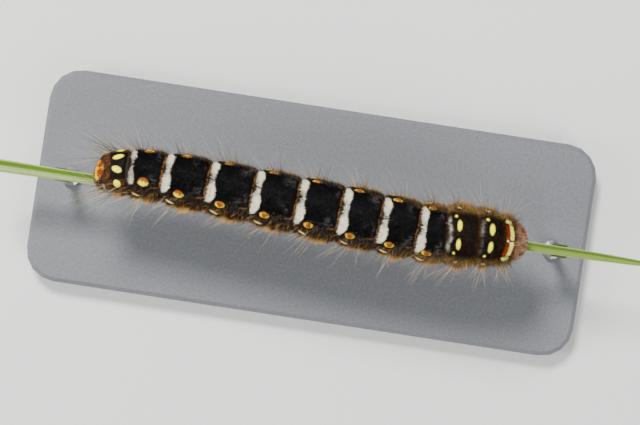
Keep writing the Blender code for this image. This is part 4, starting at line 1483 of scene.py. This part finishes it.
    def down(self) -> None:
        """Grows the short down of the belly and the soft legs."""
        random, skin, count = self.random, self.skin, self.down_count
        at, angle = self._scatter(count, *self.down_angles, edge=0.1)
        end = self.tail_down_count
        at[:end] = skin.plan.tail + random.uniform(0.03, 1.1, end) ** 1.6 * MM
        angle[:end] = np.radians(random.uniform(75, 180, end)) * np.sign(angle[:end])
        tilt = (random.normal(0.5, 0.3, count), random.normal(0.1, 0.3, count), 0.7)
        colour = self._mixed(count, (0.5, Dye.BARK), (0.85, Dye.GOLD * 0.6), (1, Dye.STRAW * 0.6))
        length = random.uniform(*self.down_lengths, count)
        growth = self._grow(skin.plan.places(at, angle), tilt, length, self.down_radii, colour)
        Hairs(1, root_dark=0.3).build("belly_down", growth, self.hair_finish)
        for leg in skin.legs:
            some = self.leg_down_each
            share, turn = random.uniform(0.05, 0.9, some), random.uniform(0, 2 * math.pi, some)
            points, out, along = leg.around(share, turn)
            growth = Growth(
                roots=points,
                lie=unit(out + along * 0.5 + random.normal(0, 0.25, (some, 3))),
                bend=np.zeros((some, 3)),
                length=random.uniform(*self.leg_down_lengths, some) * MM * (1 - 0.4 * share),
                radius=np.full(some, self.leg_down_radius),
                colour=self._mixed(some, (0.5, Dye.BARK), (1, Dye.STRAW * 0.6)),
                spots=leg.unwrap(points),
            )
            Hairs(1, root_dark=0.3).build(f"{leg.node}_down", growth, self.hair_finish)

    def sole_hooks(self) -> None:
        """Sets the small brown hooks round the sole of each soft leg."""
        for leg in self.skin.legs:
            turn = np.linspace(0, 2 * math.pi, self.hooks_each, endpoint=False)
            points, out, down = leg.around(np.ones(self.hooks_each), turn)
            growth = Growth(
                roots=leg.line[-1] + (points - leg.line[-1]) * 0.85 - down * 0.03 * MM,
                lie=unit(down + 0.5 * out),
                bend=-0.9 * out,
                length=self.random.uniform(*self.hook_lengths, self.hooks_each) * MM,
                radius=np.full(self.hooks_each, self.hook_radius),
                colour=Dye.CHESTNUT * self.random.uniform(0.6, 1.1, self.hooks_each)[:, None],
                spots=leg.unwrap(points),
            )
            Hairs(3, root_dark=0.1).build(f"{leg.node}_hooks", growth, self.hair_finish)

    def build(self) -> None:
        """Grows every part of the coat."""
        self.velvet()
        self.fringe()
        for name, group in self.groups.items():
            self.long_hairs(name, group)
        self.tail_hairs()
        self.mane()
        self.down()
        self.sole_hooks()


@dataclass(frozen=True)
class MouthPart:
    """A swelling limb of the mouth through three points, in millimetres.

    Each point is ahead, to the side, up and out of the chin from the face's lower edge, or from the
    chin where it is rooted there. A paired part has a twin on the other side.
    """

    points: tuple[tuple[float, float, float, float], ...]
    radii: tuple[float, float, float]
    colour: Array
    flatten: float = 1.0
    paired: bool = True
    on_chin: bool = False


def mouth_parts() -> tuple[MouthPart, ...]:
    """The jaws, palps, lip lobes, brow and spinneret."""
    return (
        MouthPart(
            ((-0.05, 0.48, 0.0, 0), (0.15, 0.48, -0.30, 0), (-0.05, 0.12, -0.72, 0)),
            (0.34, 0.37, 0.20), Dye.SOOT * 0.9, 0.75,
        ),
        MouthPart(
            ((0, 0.42, 0.08, 0), (0, 0.42, -0.12, 0.25), (0.12, 0.42, -0.12, 0.45)),
            (0.20, 0.16, 0.08), Dye.CHESTNUT * 1.3, on_chin=True,
        ),
        MouthPart(
            ((0.16, 0.06, 0.02, 0), (0.16, 0.36, -0.01, 0), (0.16, 0.64, 0.07, 0)),
            (0.24, 0.27, 0.12), Dye.STRAW * 0.30, 0.6,
        ),
        MouthPart(
            ((-0.12, -0.80, 0.34, 0), (-0.02, 0.0, 0.34, 0), (-0.12, 0.80, 0.34, 0)),
            (0.16, 0.23, 0.26), Dye.STRAW * 0.42, 0.6, paired=False,
        ),
        MouthPart(
            ((0, 0, 0, 0), (0, 0, 0, 0.28), (0.1, 0, 0, 0.46)),
            (0.28, 0.20, 0.06), Dye.BARK * 1.1, paired=False, on_chin=True,
        ),
    )


@dataclass
class Head:
    """The hard head with its two lobes, face, small eyes, jaws and feelers.

    The face's pattern lies on a plane that slants by face_side and face_rise for each part ahead.
    """

    plan: BodyPlan
    rows: int = 96
    around: int = 128
    length: float = 1.70 * MM
    ball: float = 3.0 * MM
    crown: float = 0.98
    throat: float = 1.04
    sag: float = 0.25 * MM
    groove: float = 0.10 * MM
    gap: float = 0.3 * MM
    face_side: float = 0.31
    face_rise: float = 0.57
    plate_top: float = 0.75 * MM
    plate_height: float = 2.6 * MM
    plate_slopes: tuple[float, float] = (0.42, 0.92)
    eye_share: float = 0.42
    eye_angle: float = math.radians(118)
    eye_ring: float = 0.50 * MM
    eye_radius: float = 0.155 * MM
    eye_turns: tuple[float, ...] = (-50, 0, 50, 100, 150, 235)
    chin_share: float = 0.70
    face_share: float = 0.93
    feeler_share: float = 0.60
    feeler_angle: float = math.radians(138)
    feeler_reaches: tuple[float, ...] = (-0.1, 0.30, 0.42, 0.46, 0.78, 0.85, 0.88, 1.26, 1.30)
    feeler_radii: tuple[float, ...] = (0.28, 0.26, 0.24, 0.20, 0.22, 0.20, 0.11, 0.10, 0.03)
    hair_count: int = 3800
    hair_seed: int = 12
    hair_side: float = math.radians(150)
    hair_mix: tuple[float, ...] = (0.48, 0.92, 1.00)
    hair_lengths: tuple[float, float] = (0.25, 0.78)
    hair_radii: tuple[float, float] = (0.013, 0.026)
    shell: Finish = Finish("head_shell_finish", 0.5, 0.22, 0.12, 0.09 * MM, 0.35)
    eye: Finish = Finish("eye_finish", 0.14, 0.6, 0.1)
    hair: Finish = Finish("head_hair", 0.6, 0.14)
    mouth: tuple[MouthPart, ...] = field(default_factory=mouth_parts)

    def _dome(self, share: Array) -> Array:
        """How far the shell is from its axis, the front of a ball."""
        rest = (1 - share) * self.length
        return np.sqrt(np.maximum(rest * (2 * self.ball - rest), 0))

    def point(self, share: Array, angle: Array, lift: Array | float = 0.0) -> Array:
        """Points on the head's shell.

        Args:
            share: From 0 at the neck to 1 at the face.
            angle: Angles round from the crown, positive to the left.
            lift: How far outside the shell.

        Returns:
            The points.
        """
        plan = self.plan
        side, rise = np.sin(angle), np.cos(angle)
        tall = np.where(rise > 0, self.crown, self.throat)
        plain = self._dome(share) / np.hypot(side, rise / tall)
        seam = self.groove * hump(angle, 0.22) * np.sin(math.pi * share)
        start = np.full_like(share, plan.neck + self.gap / 2)
        ahead, left, up = plan.axes(start)
        centre = plan.middle(start) + (share * self.length)[..., None] * ahead
        centre = centre - (self.sag * share)[..., None] * up
        out = side[..., None] * left + rise[..., None] * up
        return centre + (plain - seam + lift)[..., None] * out

    def _facing(self, share: Array, angle: Array) -> Array:
        """Unit vectors straight out of the shell."""
        step = 0.02
        ahead = self.point(np.minimum(share + step, 0.995), angle) - self.point(share - step, angle)
        around = self.point(share, angle + step) - self.point(share, angle - step)
        return unit(np.cross(ahead, around))

    def _seat(self, share: float, angle: float) -> tuple[Array, Array]:
        """One point on the shell and the direction out of it."""
        at, turn = np.array([share]), np.array([angle])
        return self.point(at, turn)[0], self._facing(at, turn)[0]

    def _face(self, share: Array, angle: Array) -> tuple[Array, Array]:
        """Distances across and up a slanting plane before the face, where no pattern is pinched."""
        wide, along = self._dome(share), share * self.length
        across = wide * np.sin(angle) + self.face_side * along
        return across, wide * np.cos(angle) + self.face_rise * along

    def _triangle(self, across: Array, rise: Array) -> Array:
        """How far places lie inside the three-cornered plate of the face."""
        top, (down, out) = self.face_rise * self.length + self.plate_top, self.plate_slopes
        slope = (top - rise) * down - np.abs(across - self.face_side * self.length) * out
        return np.minimum(slope, rise - (top - self.plate_height))

    def _relief(self, share: Array, angle: Array) -> Array:
        """Heights of the face plate, the sutures and the fine pits."""
        across, rise = self._face(share, angle)
        inside, front = self._triangle(across, rise), rise_from(0.35, 0.6, share)
        pits = (Grain(41, 0.09 * MM)(across, rise) - 0.5) * 0.022
        wave = (Grain(42, 0.5 * MM)(across, rise) - 0.5) * 0.05
        plate = 0.05 * rise_from(0.0, 0.15 * MM, inside) - 0.05 * hump(inside, 0.045 * MM)
        return (pits + wave + plate * front) * MM

    def _tints(self, share: Array, angle: Array) -> Array:
        """Linear colours of the shell."""
        degrees = np.abs(np.degrees(angle))
        across, rise = self._face(share, angle)
        fine, broad = Grain(43, 0.11 * MM)(across, rise), Grain(44, 0.65 * MM)(across, rise)
        tone = Dye.CHESTNUT * ((0.7 + 0.7 * broad) * (0.85 + 0.3 * fine))[..., None]
        tone = blend(tone, Dye.BARK * 1.3, rise_from(0.45, 0.7, broad) * 0.5)
        freckle = rise_from(0.50, 0.66, Grain(45, 0.24 * MM)(across, rise))
        tone = blend(tone, Dye.SOOT * 1.2, freckle * 0.78)
        inside, front = self._triangle(across, rise), rise_from(0.35, 0.6, share)
        tone = blend(tone, Dye.STRAW * 0.7, hump(inside + 0.16 * MM, 0.10 * MM) * front * 0.8)
        tone = blend(tone, Dye.SOOT, hump(inside, 0.05 * MM) * front * 0.8)
        seam = hump(degrees, 3.5) * rise_from(0.05, 0.2, share)
        tone = blend(tone, Dye.SOOT, seam * fall_from(-0.1 * MM, 0.1 * MM, inside) * 0.85)
        cheek = rise_from(88, 106, degrees) * rise_from(0.15, 0.4, share)
        return blend(tone, Dye.STRAW * 0.45, cheek * (0.25 + 0.3 * broad))

    def build(self) -> None:
        """Builds and dresses the head."""
        rows = np.sin(np.linspace(0, 1, self.rows) * math.pi / 2) * 0.9995
        turn = np.linspace(-math.pi, math.pi, self.around, endpoint=False)
        share, angle = pairs(rows, turn)
        points = self.point(share, angle, self._relief(share, angle) * (1 - share**8))
        tints = self._tints(share, angle)
        shape = sheath(points.reshape(self.rows, self.around, 3))
        shell = self.shell.material()
        obj = mesh_object("head_capsule", shape, np.concatenate([tints, tints[:1], tints[-1:]]))
        add_piece(obj, shell, "head_shell", "head")
        self._eyes()
        self._mouth(shell)
        self._feelers(shell)
        self._hair()

    def _eyes(self) -> None:
        """Builds the six small eyes on each cheek."""
        beads, steps = [], np.linspace(-0.35, 1, 8)
        for sign in (1, -1):
            centre, facing = self._seat(self.eye_share, sign * self.eye_angle)
            across = unit(np.cross(facing, np.array([0.0, 0.0, 1.0])))
            up = np.cross(across, facing)
            for turn in map(math.radians, self.eye_turns):
                off = self.eye_ring * (math.cos(turn) * across * sign + math.sin(turn) * up)
                spot = centre + off - facing * 0.05 * MM
                radii = self.eye_radius * np.sqrt(np.maximum(1 - steps * steps, 0.0004))
                path = spot + steps[:, None] * facing * self.eye_radius * 0.9
                beads.append(tube(path, radii, 18))
        obj = mesh_object("eyes", joined(beads), Dye.SOOT * 0.7)
        add_piece(obj, self.eye.material(), "head_shell")

    def _mouth(self, shell: Material) -> None:
        """Builds the upper lip, jaws, palps and spinneret in the shell's material."""
        chin, out = self._seat(self.chin_share, math.pi)
        face, _ = self._seat(self.face_share, math.pi)
        ahead, left, up = (axis[0] for axis in self.plan.axes(np.array([self.plan.neck])))
        pieces, tones = [], []
        for part in self.mouth:
            for sign in (1, -1) if part.paired else (1,):
                axes = np.array([ahead, left * sign, up, out]) * MM
                line = (chin if part.on_chin else face) + np.array(part.points) @ axes
                thick = spread(np.array(part.radii) * MM, 14)
                thick[-1] *= 0.35
                pieces.append(tube(resampled(line, 14), thick, 18, part.flatten))
                tones.append(part.colour * np.ones_like(pieces[-1][0]))
        obj = mesh_object("mouthparts", joined(pieces), np.concatenate(tones))
        add_piece(obj, shell, "head_shell")

    def _feelers(self, shell: Material) -> None:
        """Builds the two short feelers in the shell's material."""
        reaches, radii = np.array(self.feeler_reaches) * MM, np.array(self.feeler_radii) * MM
        for side, sign in SIDES:
            centre, facing = self._seat(self.feeler_share, sign * self.feeler_angle)
            shape = tube(centre + reaches[:, None] * facing, radii, 20)
            far = np.linalg.norm(shape[0] - centre, axis=1) / reaches[-1]
            tone = blend(Dye.STRAW * 0.6, Dye.CHESTNUT, rise_from(0.1, 0.9, far))
            obj = mesh_object(f"feeler_{side}", shape, tone)
            add_piece(obj, shell, "head_shell", f"antenna_{side}")

    def _hair(self) -> None:
        """Grows the hair of the head, short round the small eyes."""
        random, count = np.random.default_rng(self.hair_seed), self.hair_count
        share = random.uniform(0.02, 0.96, count) ** 0.9
        angle = random.uniform(-self.hair_side, self.hair_side, count)
        roots, normal = self.point(share, angle, -0.03 * MM), self._facing(share, angle)
        forward = unit(square_to(normal, X_AXIS))
        lie = normal + forward * random.uniform(0.1, 0.9, count)[:, None]
        eyes = [self._seat(self.eye_share, sign * self.eye_angle)[0] for sign in (1, -1)]
        off = np.min([np.linalg.norm(roots - eye, axis=1) for eye in eyes], axis=0)
        length = random.uniform(*self.hair_lengths, count) * MM * (1 - 0.40 * share**3)
        streak = Grain(46, 0.45 * MM)(angle * 2.4 * MM, share * 0.5 * MM) - 0.5
        pick = np.searchsorted(self.hair_mix, random.random(count) + streak * 1.8)
        colour = np.array([Dye.CHESTNUT * 0.3, Dye.GINGER, Dye.GOLD, Dye.STRAW * 0.8])[pick]
        growth = Growth(
            roots=roots,
            lie=unit(lie + random.normal(0, 0.16, (count, 3))),
            bend=np.tile([0.05, 0.0, -0.12], (count, 1)),
            length=length * (0.22 + 0.78 * rise_from(0.62 * MM, 0.90 * MM, off)),
            radius=random.uniform(*self.hair_radii, count) * MM,
            colour=colour * random.uniform(0.55, 1.1, count)[:, None],
            spots=np.stack([0.985 + 0.012 * share, unwrapped_turn(angle)], -1),
        )
        Hairs(3, 0.10, 0.3).build("head_hair", growth, self.hair.material())


@dataclass
class TrueLegs:
    """The three pairs of short jointed legs behind the head.

    The knee lies ahead of, beside and above the root, and the foot and claw behind the front of
    the leg's node, beside its inner side and above its bottom, all in millimetres.
    """

    skin: Skin
    rings: tuple[int, ...] = (1, 2, 3)
    share: float = 0.45
    angle: float = math.radians(140)
    root_radius: float = 0.55 * MM
    taper: tuple[float, ...] = (1.05, 0.88, 0.62, 0.46, 0.26, 0.05)
    steps: int = 40
    notch_depth: float = 0.16
    sunk: float = 0.15 * MM
    knee: tuple[float, float, float] = (0.25, 0.30, -0.75)
    foot: tuple[float, float, float] = (-0.30, 0.40, 0.45)
    claw: tuple[float, float, float] = (-0.42, 0.12, 0.03)
    shin: tuple[float, float, float] = (0.12, 0.10, 0.0)
    finish: Finish = Finish("leg_shell_finish", 0.3, 0.5, 0.15, 0.12 * MM, 0.3)

    def _path(self, node: str, root: Array, sign: int) -> Array:
        """The leg's root, thigh, knee, shin, foot and claw.

        Args:
            node: Its CAD node.
            root: Where it leaves the body.
            sign: 1 on the left and -1 on the right.

        Returns:
            Six points.
        """
        low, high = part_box(node)
        corner = np.array([high.x, low.y if sign > 0 else high.y, low.z])
        outward = np.array([1, sign, 1]) * MM
        knee = root + self.knee * outward
        foot, claw = corner + self.foot * outward, corner + self.claw * outward
        shin = knee * 0.45 + foot * 0.55 + self.shin * outward
        return np.array([root, root * 0.4 + knee * 0.6, knee, shin, foot, claw])

    def build(self) -> None:
        """Builds and dresses each leg."""
        plan = self.skin.plan
        finish = self.finish.material()
        fine = np.linspace(0, len(self.taper) - 1, self.steps)
        notch = self.notch_depth * hump(fine % 1 - 0.5, 0.12) * (fine < 4.3)
        radii = spread(self.taper, self.steps) * self.root_radius * (1 - notch)
        for number in self.rings:
            root_at = plan.station(f"thorax_{number}", self.share)
            for side, sign in SIDES:
                node = f"leg_{number}_{side}"
                on = plan.places(root_at, sign * self.angle)
                root = self.skin.surface(on)[0] - self.skin.facing(on)[0] * self.sunk
                shape = tube(resampled(self._path(node, root, sign), self.steps, 3), radii, 24)
                drop = (root[2] - shape[0][:, 2]) / (root[2] - shape[0][:, 2].min())
                tone = blend(Dye.CHESTNUT * 1.25, Dye.SOOT * 1.3, rise_from(0, 1, drop))
                add_piece(mesh_object(f"true_{node}", shape, tone), finish, "leg_shell", node)


@dataclass
class GrassBlade:
    """The cut length of grass that the larva clasps, a shallow channel with ribs."""

    stations: tuple[float, ...] = (-49, -35, 0, 33, 46, 51, 53.5)
    half_widths: tuple[float, ...] = (1.0, 0.82, 0.78, 0.75, 0.60, 0.42, 0.25)
    half_thickness: float = 0.25 * MM
    channel: float = 0.25 * MM
    rib_height: float = 0.02 * MM
    rows: int = 420
    across: int = 30
    ribs: int = 9
    dry_from: float = 51.0 * MM
    dry_to: float = 53.4 * MM
    edge_from: float = 0.8
    edge_thinning: float = 0.5
    finish: Finish = Finish("grass_finish", 0.38, 0.4, 0.10, 0.25 * MM, 0.25)

    def build(self) -> None:
        """Builds and dresses the blade."""
        low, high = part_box("perch_grass_blade")
        x = np.linspace(low.x, high.x, self.rows)
        half = smooth_curve(np.array(self.stations) * MM, np.array(self.half_widths) * MM, x)
        share = np.linspace(-1, 1, self.across)
        edge = 1 - self.edge_thinning * rise_from(self.edge_from, 1.0, np.abs(share))
        rib = self.rib_height * (np.cos(share * math.pi * self.ribs) * edge - 1)
        middle = low.z + self.half_thickness + self.channel * np.abs(share)
        top, bottom = middle + self.half_thickness * edge + rib, middle - self.half_thickness * edge
        share = np.concatenate([share, share[::-1]])
        heights = np.concatenate([top, bottom[::-1]])[None]
        rings = np.stack(np.broadcast_arrays(x[:, None], half[:, None] * share, heights), -1)
        shape = sheath(rings[:, ::-1])
        tones = self._tints(shape[0], np.append(np.tile(share[::-1], self.rows), [0, 0]))
        obj = mesh_object("grass_blade", shape, tones)
        add_piece(obj, self.finish.material(), "grass", "perch_grass_blade")

    def _tints(self, points: Array, share: Array) -> Array:
        """Linear colours of the blade.

        Args:
            points: The vertices.
            share: Where each lies across the blade.

        Returns:
            One colour a vertex.
        """
        streak = Grain(51, 0.09 * MM)(share * 0.8 * MM, points[:, 0] * 0.02)
        rib = 0.5 + 0.5 * np.cos(share * math.pi * self.ribs)
        tone = Dye.GRASS * ((0.8 + 0.4 * streak) * (0.9 + 0.22 * rib))[:, None]
        # Painted sheen: a paler stripe along one side of the blade stands in for light glancing off
        # it.
        margin, keel, sheen = np.abs(share), hump(share, 0.12), hump(share + 0.42, 0.20)
        for pale in (rise_from(0.62, 0.95, margin) * 0.8, keel * 0.5, sheen * 0.5):
            tone = blend(tone, Dye.PALE_GRASS, pale)
        return blend(tone, Dye.DRY_GRASS, rise_from(self.dry_from, self.dry_to, points[:, 0]) * 0.8)


@dataclass
class DisplayStand:
    """Finishes for the plain stand's own solids."""

    paint: Finish = Finish(
        "stand_paint_finish", 0.6, 0.5, grain_size=0.4 * MM, bump=0.15, bump_depth=0.03 * MM,
        colours=Dye.SLATE,
    )
    steel: Finish = Finish(
        "stand_steel_finish", 0.32, 0.5, grain_size=0.4 * MM, bump=0.15, bump_depth=0.03 * MM,
        colours=Dye.STEEL, metallic=1.0, stretch=(1.0, 1.0, 0.06),
    )

    def dress(self) -> None:
        """Gives the base its slate grey paint and the rods their drawn steel."""
        paint, steel = self.paint.material(), self.steel.material()
        for node in ("stand_base", "stand_rod_front", "stand_rod_rear"):
            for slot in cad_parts[node].material_slots:
                slot.material = paint if node == "stand_base" else steel
            LOG.info("%s: dressed", node)


@dataclass(frozen=True)
class Lamp:
    """A soft round light: its name, its place and width in metres, and its power in watts."""

    name: str
    place: tuple[float, float, float]
    size: float
    power: float


@dataclass
class Studio:
    """The floor, lights and camera."""

    middle: tuple[float, float, float] = (1.33 * MM, 0.27 * MM, 18.5 * MM)
    distance: float = 268 * MM
    turn: float = math.radians(8.7)
    lens: float = 100
    sensor: float = 36
    floor_half: float = 4.0
    paper: Finish = Finish("floor_finish", 0.8, 0.5, grain_size=0.4 * MM, colours=Dye.PAPER)
    room: tuple[float, float, float] = (0.92, 0.95, 1.0)
    room_strength: float = 0.45
    lamps: tuple[Lamp, ...] = (
        Lamp("key", (-0.16, 0.30, 0.46), 0.16, 5.6),
        Lamp("fill", (0.32, -0.30, 0.34), 0.36, 2.2),
        Lamp("rim", (-0.34, -0.10, 0.20), 0.18, 1.2),
    )

    def _light(self, lamp: Lamp) -> None:
        """Adds a lamp that faces the larva."""
        data = bpy.data.lights.new(lamp.name, "AREA")
        data.shape, data.size, data.energy = "DISK", lamp.size, lamp.power
        obj = bpy.data.objects.new(lamp.name, data)
        obj.location = lamp.place
        towards = Vector(self.middle) - Vector(lamp.place)
        obj.rotation_euler = towards.to_track_quat("-Z", "Y").to_euler()
        bpy.context.scene.collection.objects.link(obj)

    def build(self) -> None:
        """Builds the floor, lights and camera."""
        low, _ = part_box("stand_base")
        x, y = self.floor_half * np.array([[-1, 1, 1, -1], [-1, -1, 1, 1]])
        corners = np.stack([x, y, np.full(4, low.z)], -1)
        floor = mesh_object("floor", (corners, np.array([[0, 1, 2, 3]])), np.ones(3), smooth=False)
        floor.data.materials.append(self.paper.material())
        for lamp in self.lamps:
            self._light(lamp)
        scene = bpy.context.scene
        scene.world = bpy.data.worlds.new("soft_room")
        scene.world.use_nodes = True
        background = scene.world.node_tree.nodes["Background"]
        background.inputs["Color"].default_value = (*self.room, 1)
        background.inputs["Strength"].default_value = self.room_strength
        data = bpy.data.cameras.new("camera")
        data.lens, data.sensor_width, data.clip_start = self.lens, self.sensor, 0.01
        camera = bpy.data.objects.new("camera", data)
        camera.location = Vector(self.middle) + Vector((0, 0, self.distance))
        camera.rotation_euler = (0, 0, self.turn)
        scene.collection.objects.link(camera)
        scene.camera = camera


def main() -> None:
    """Builds the whole model in order."""
    logging.basicConfig(level=logging.INFO, format="%(name)s: %(message)s")
    plan = BodyPlan()
    skin = Skin(plan, Markings(plan))
    skin.build()
    Coat(skin).build()
    Head(plan).build()
    TrueLegs(skin).build()
    GrassBlade().build()
    DisplayStand().dress()
    Studio().build()


if __name__ == "__main__":
    main()
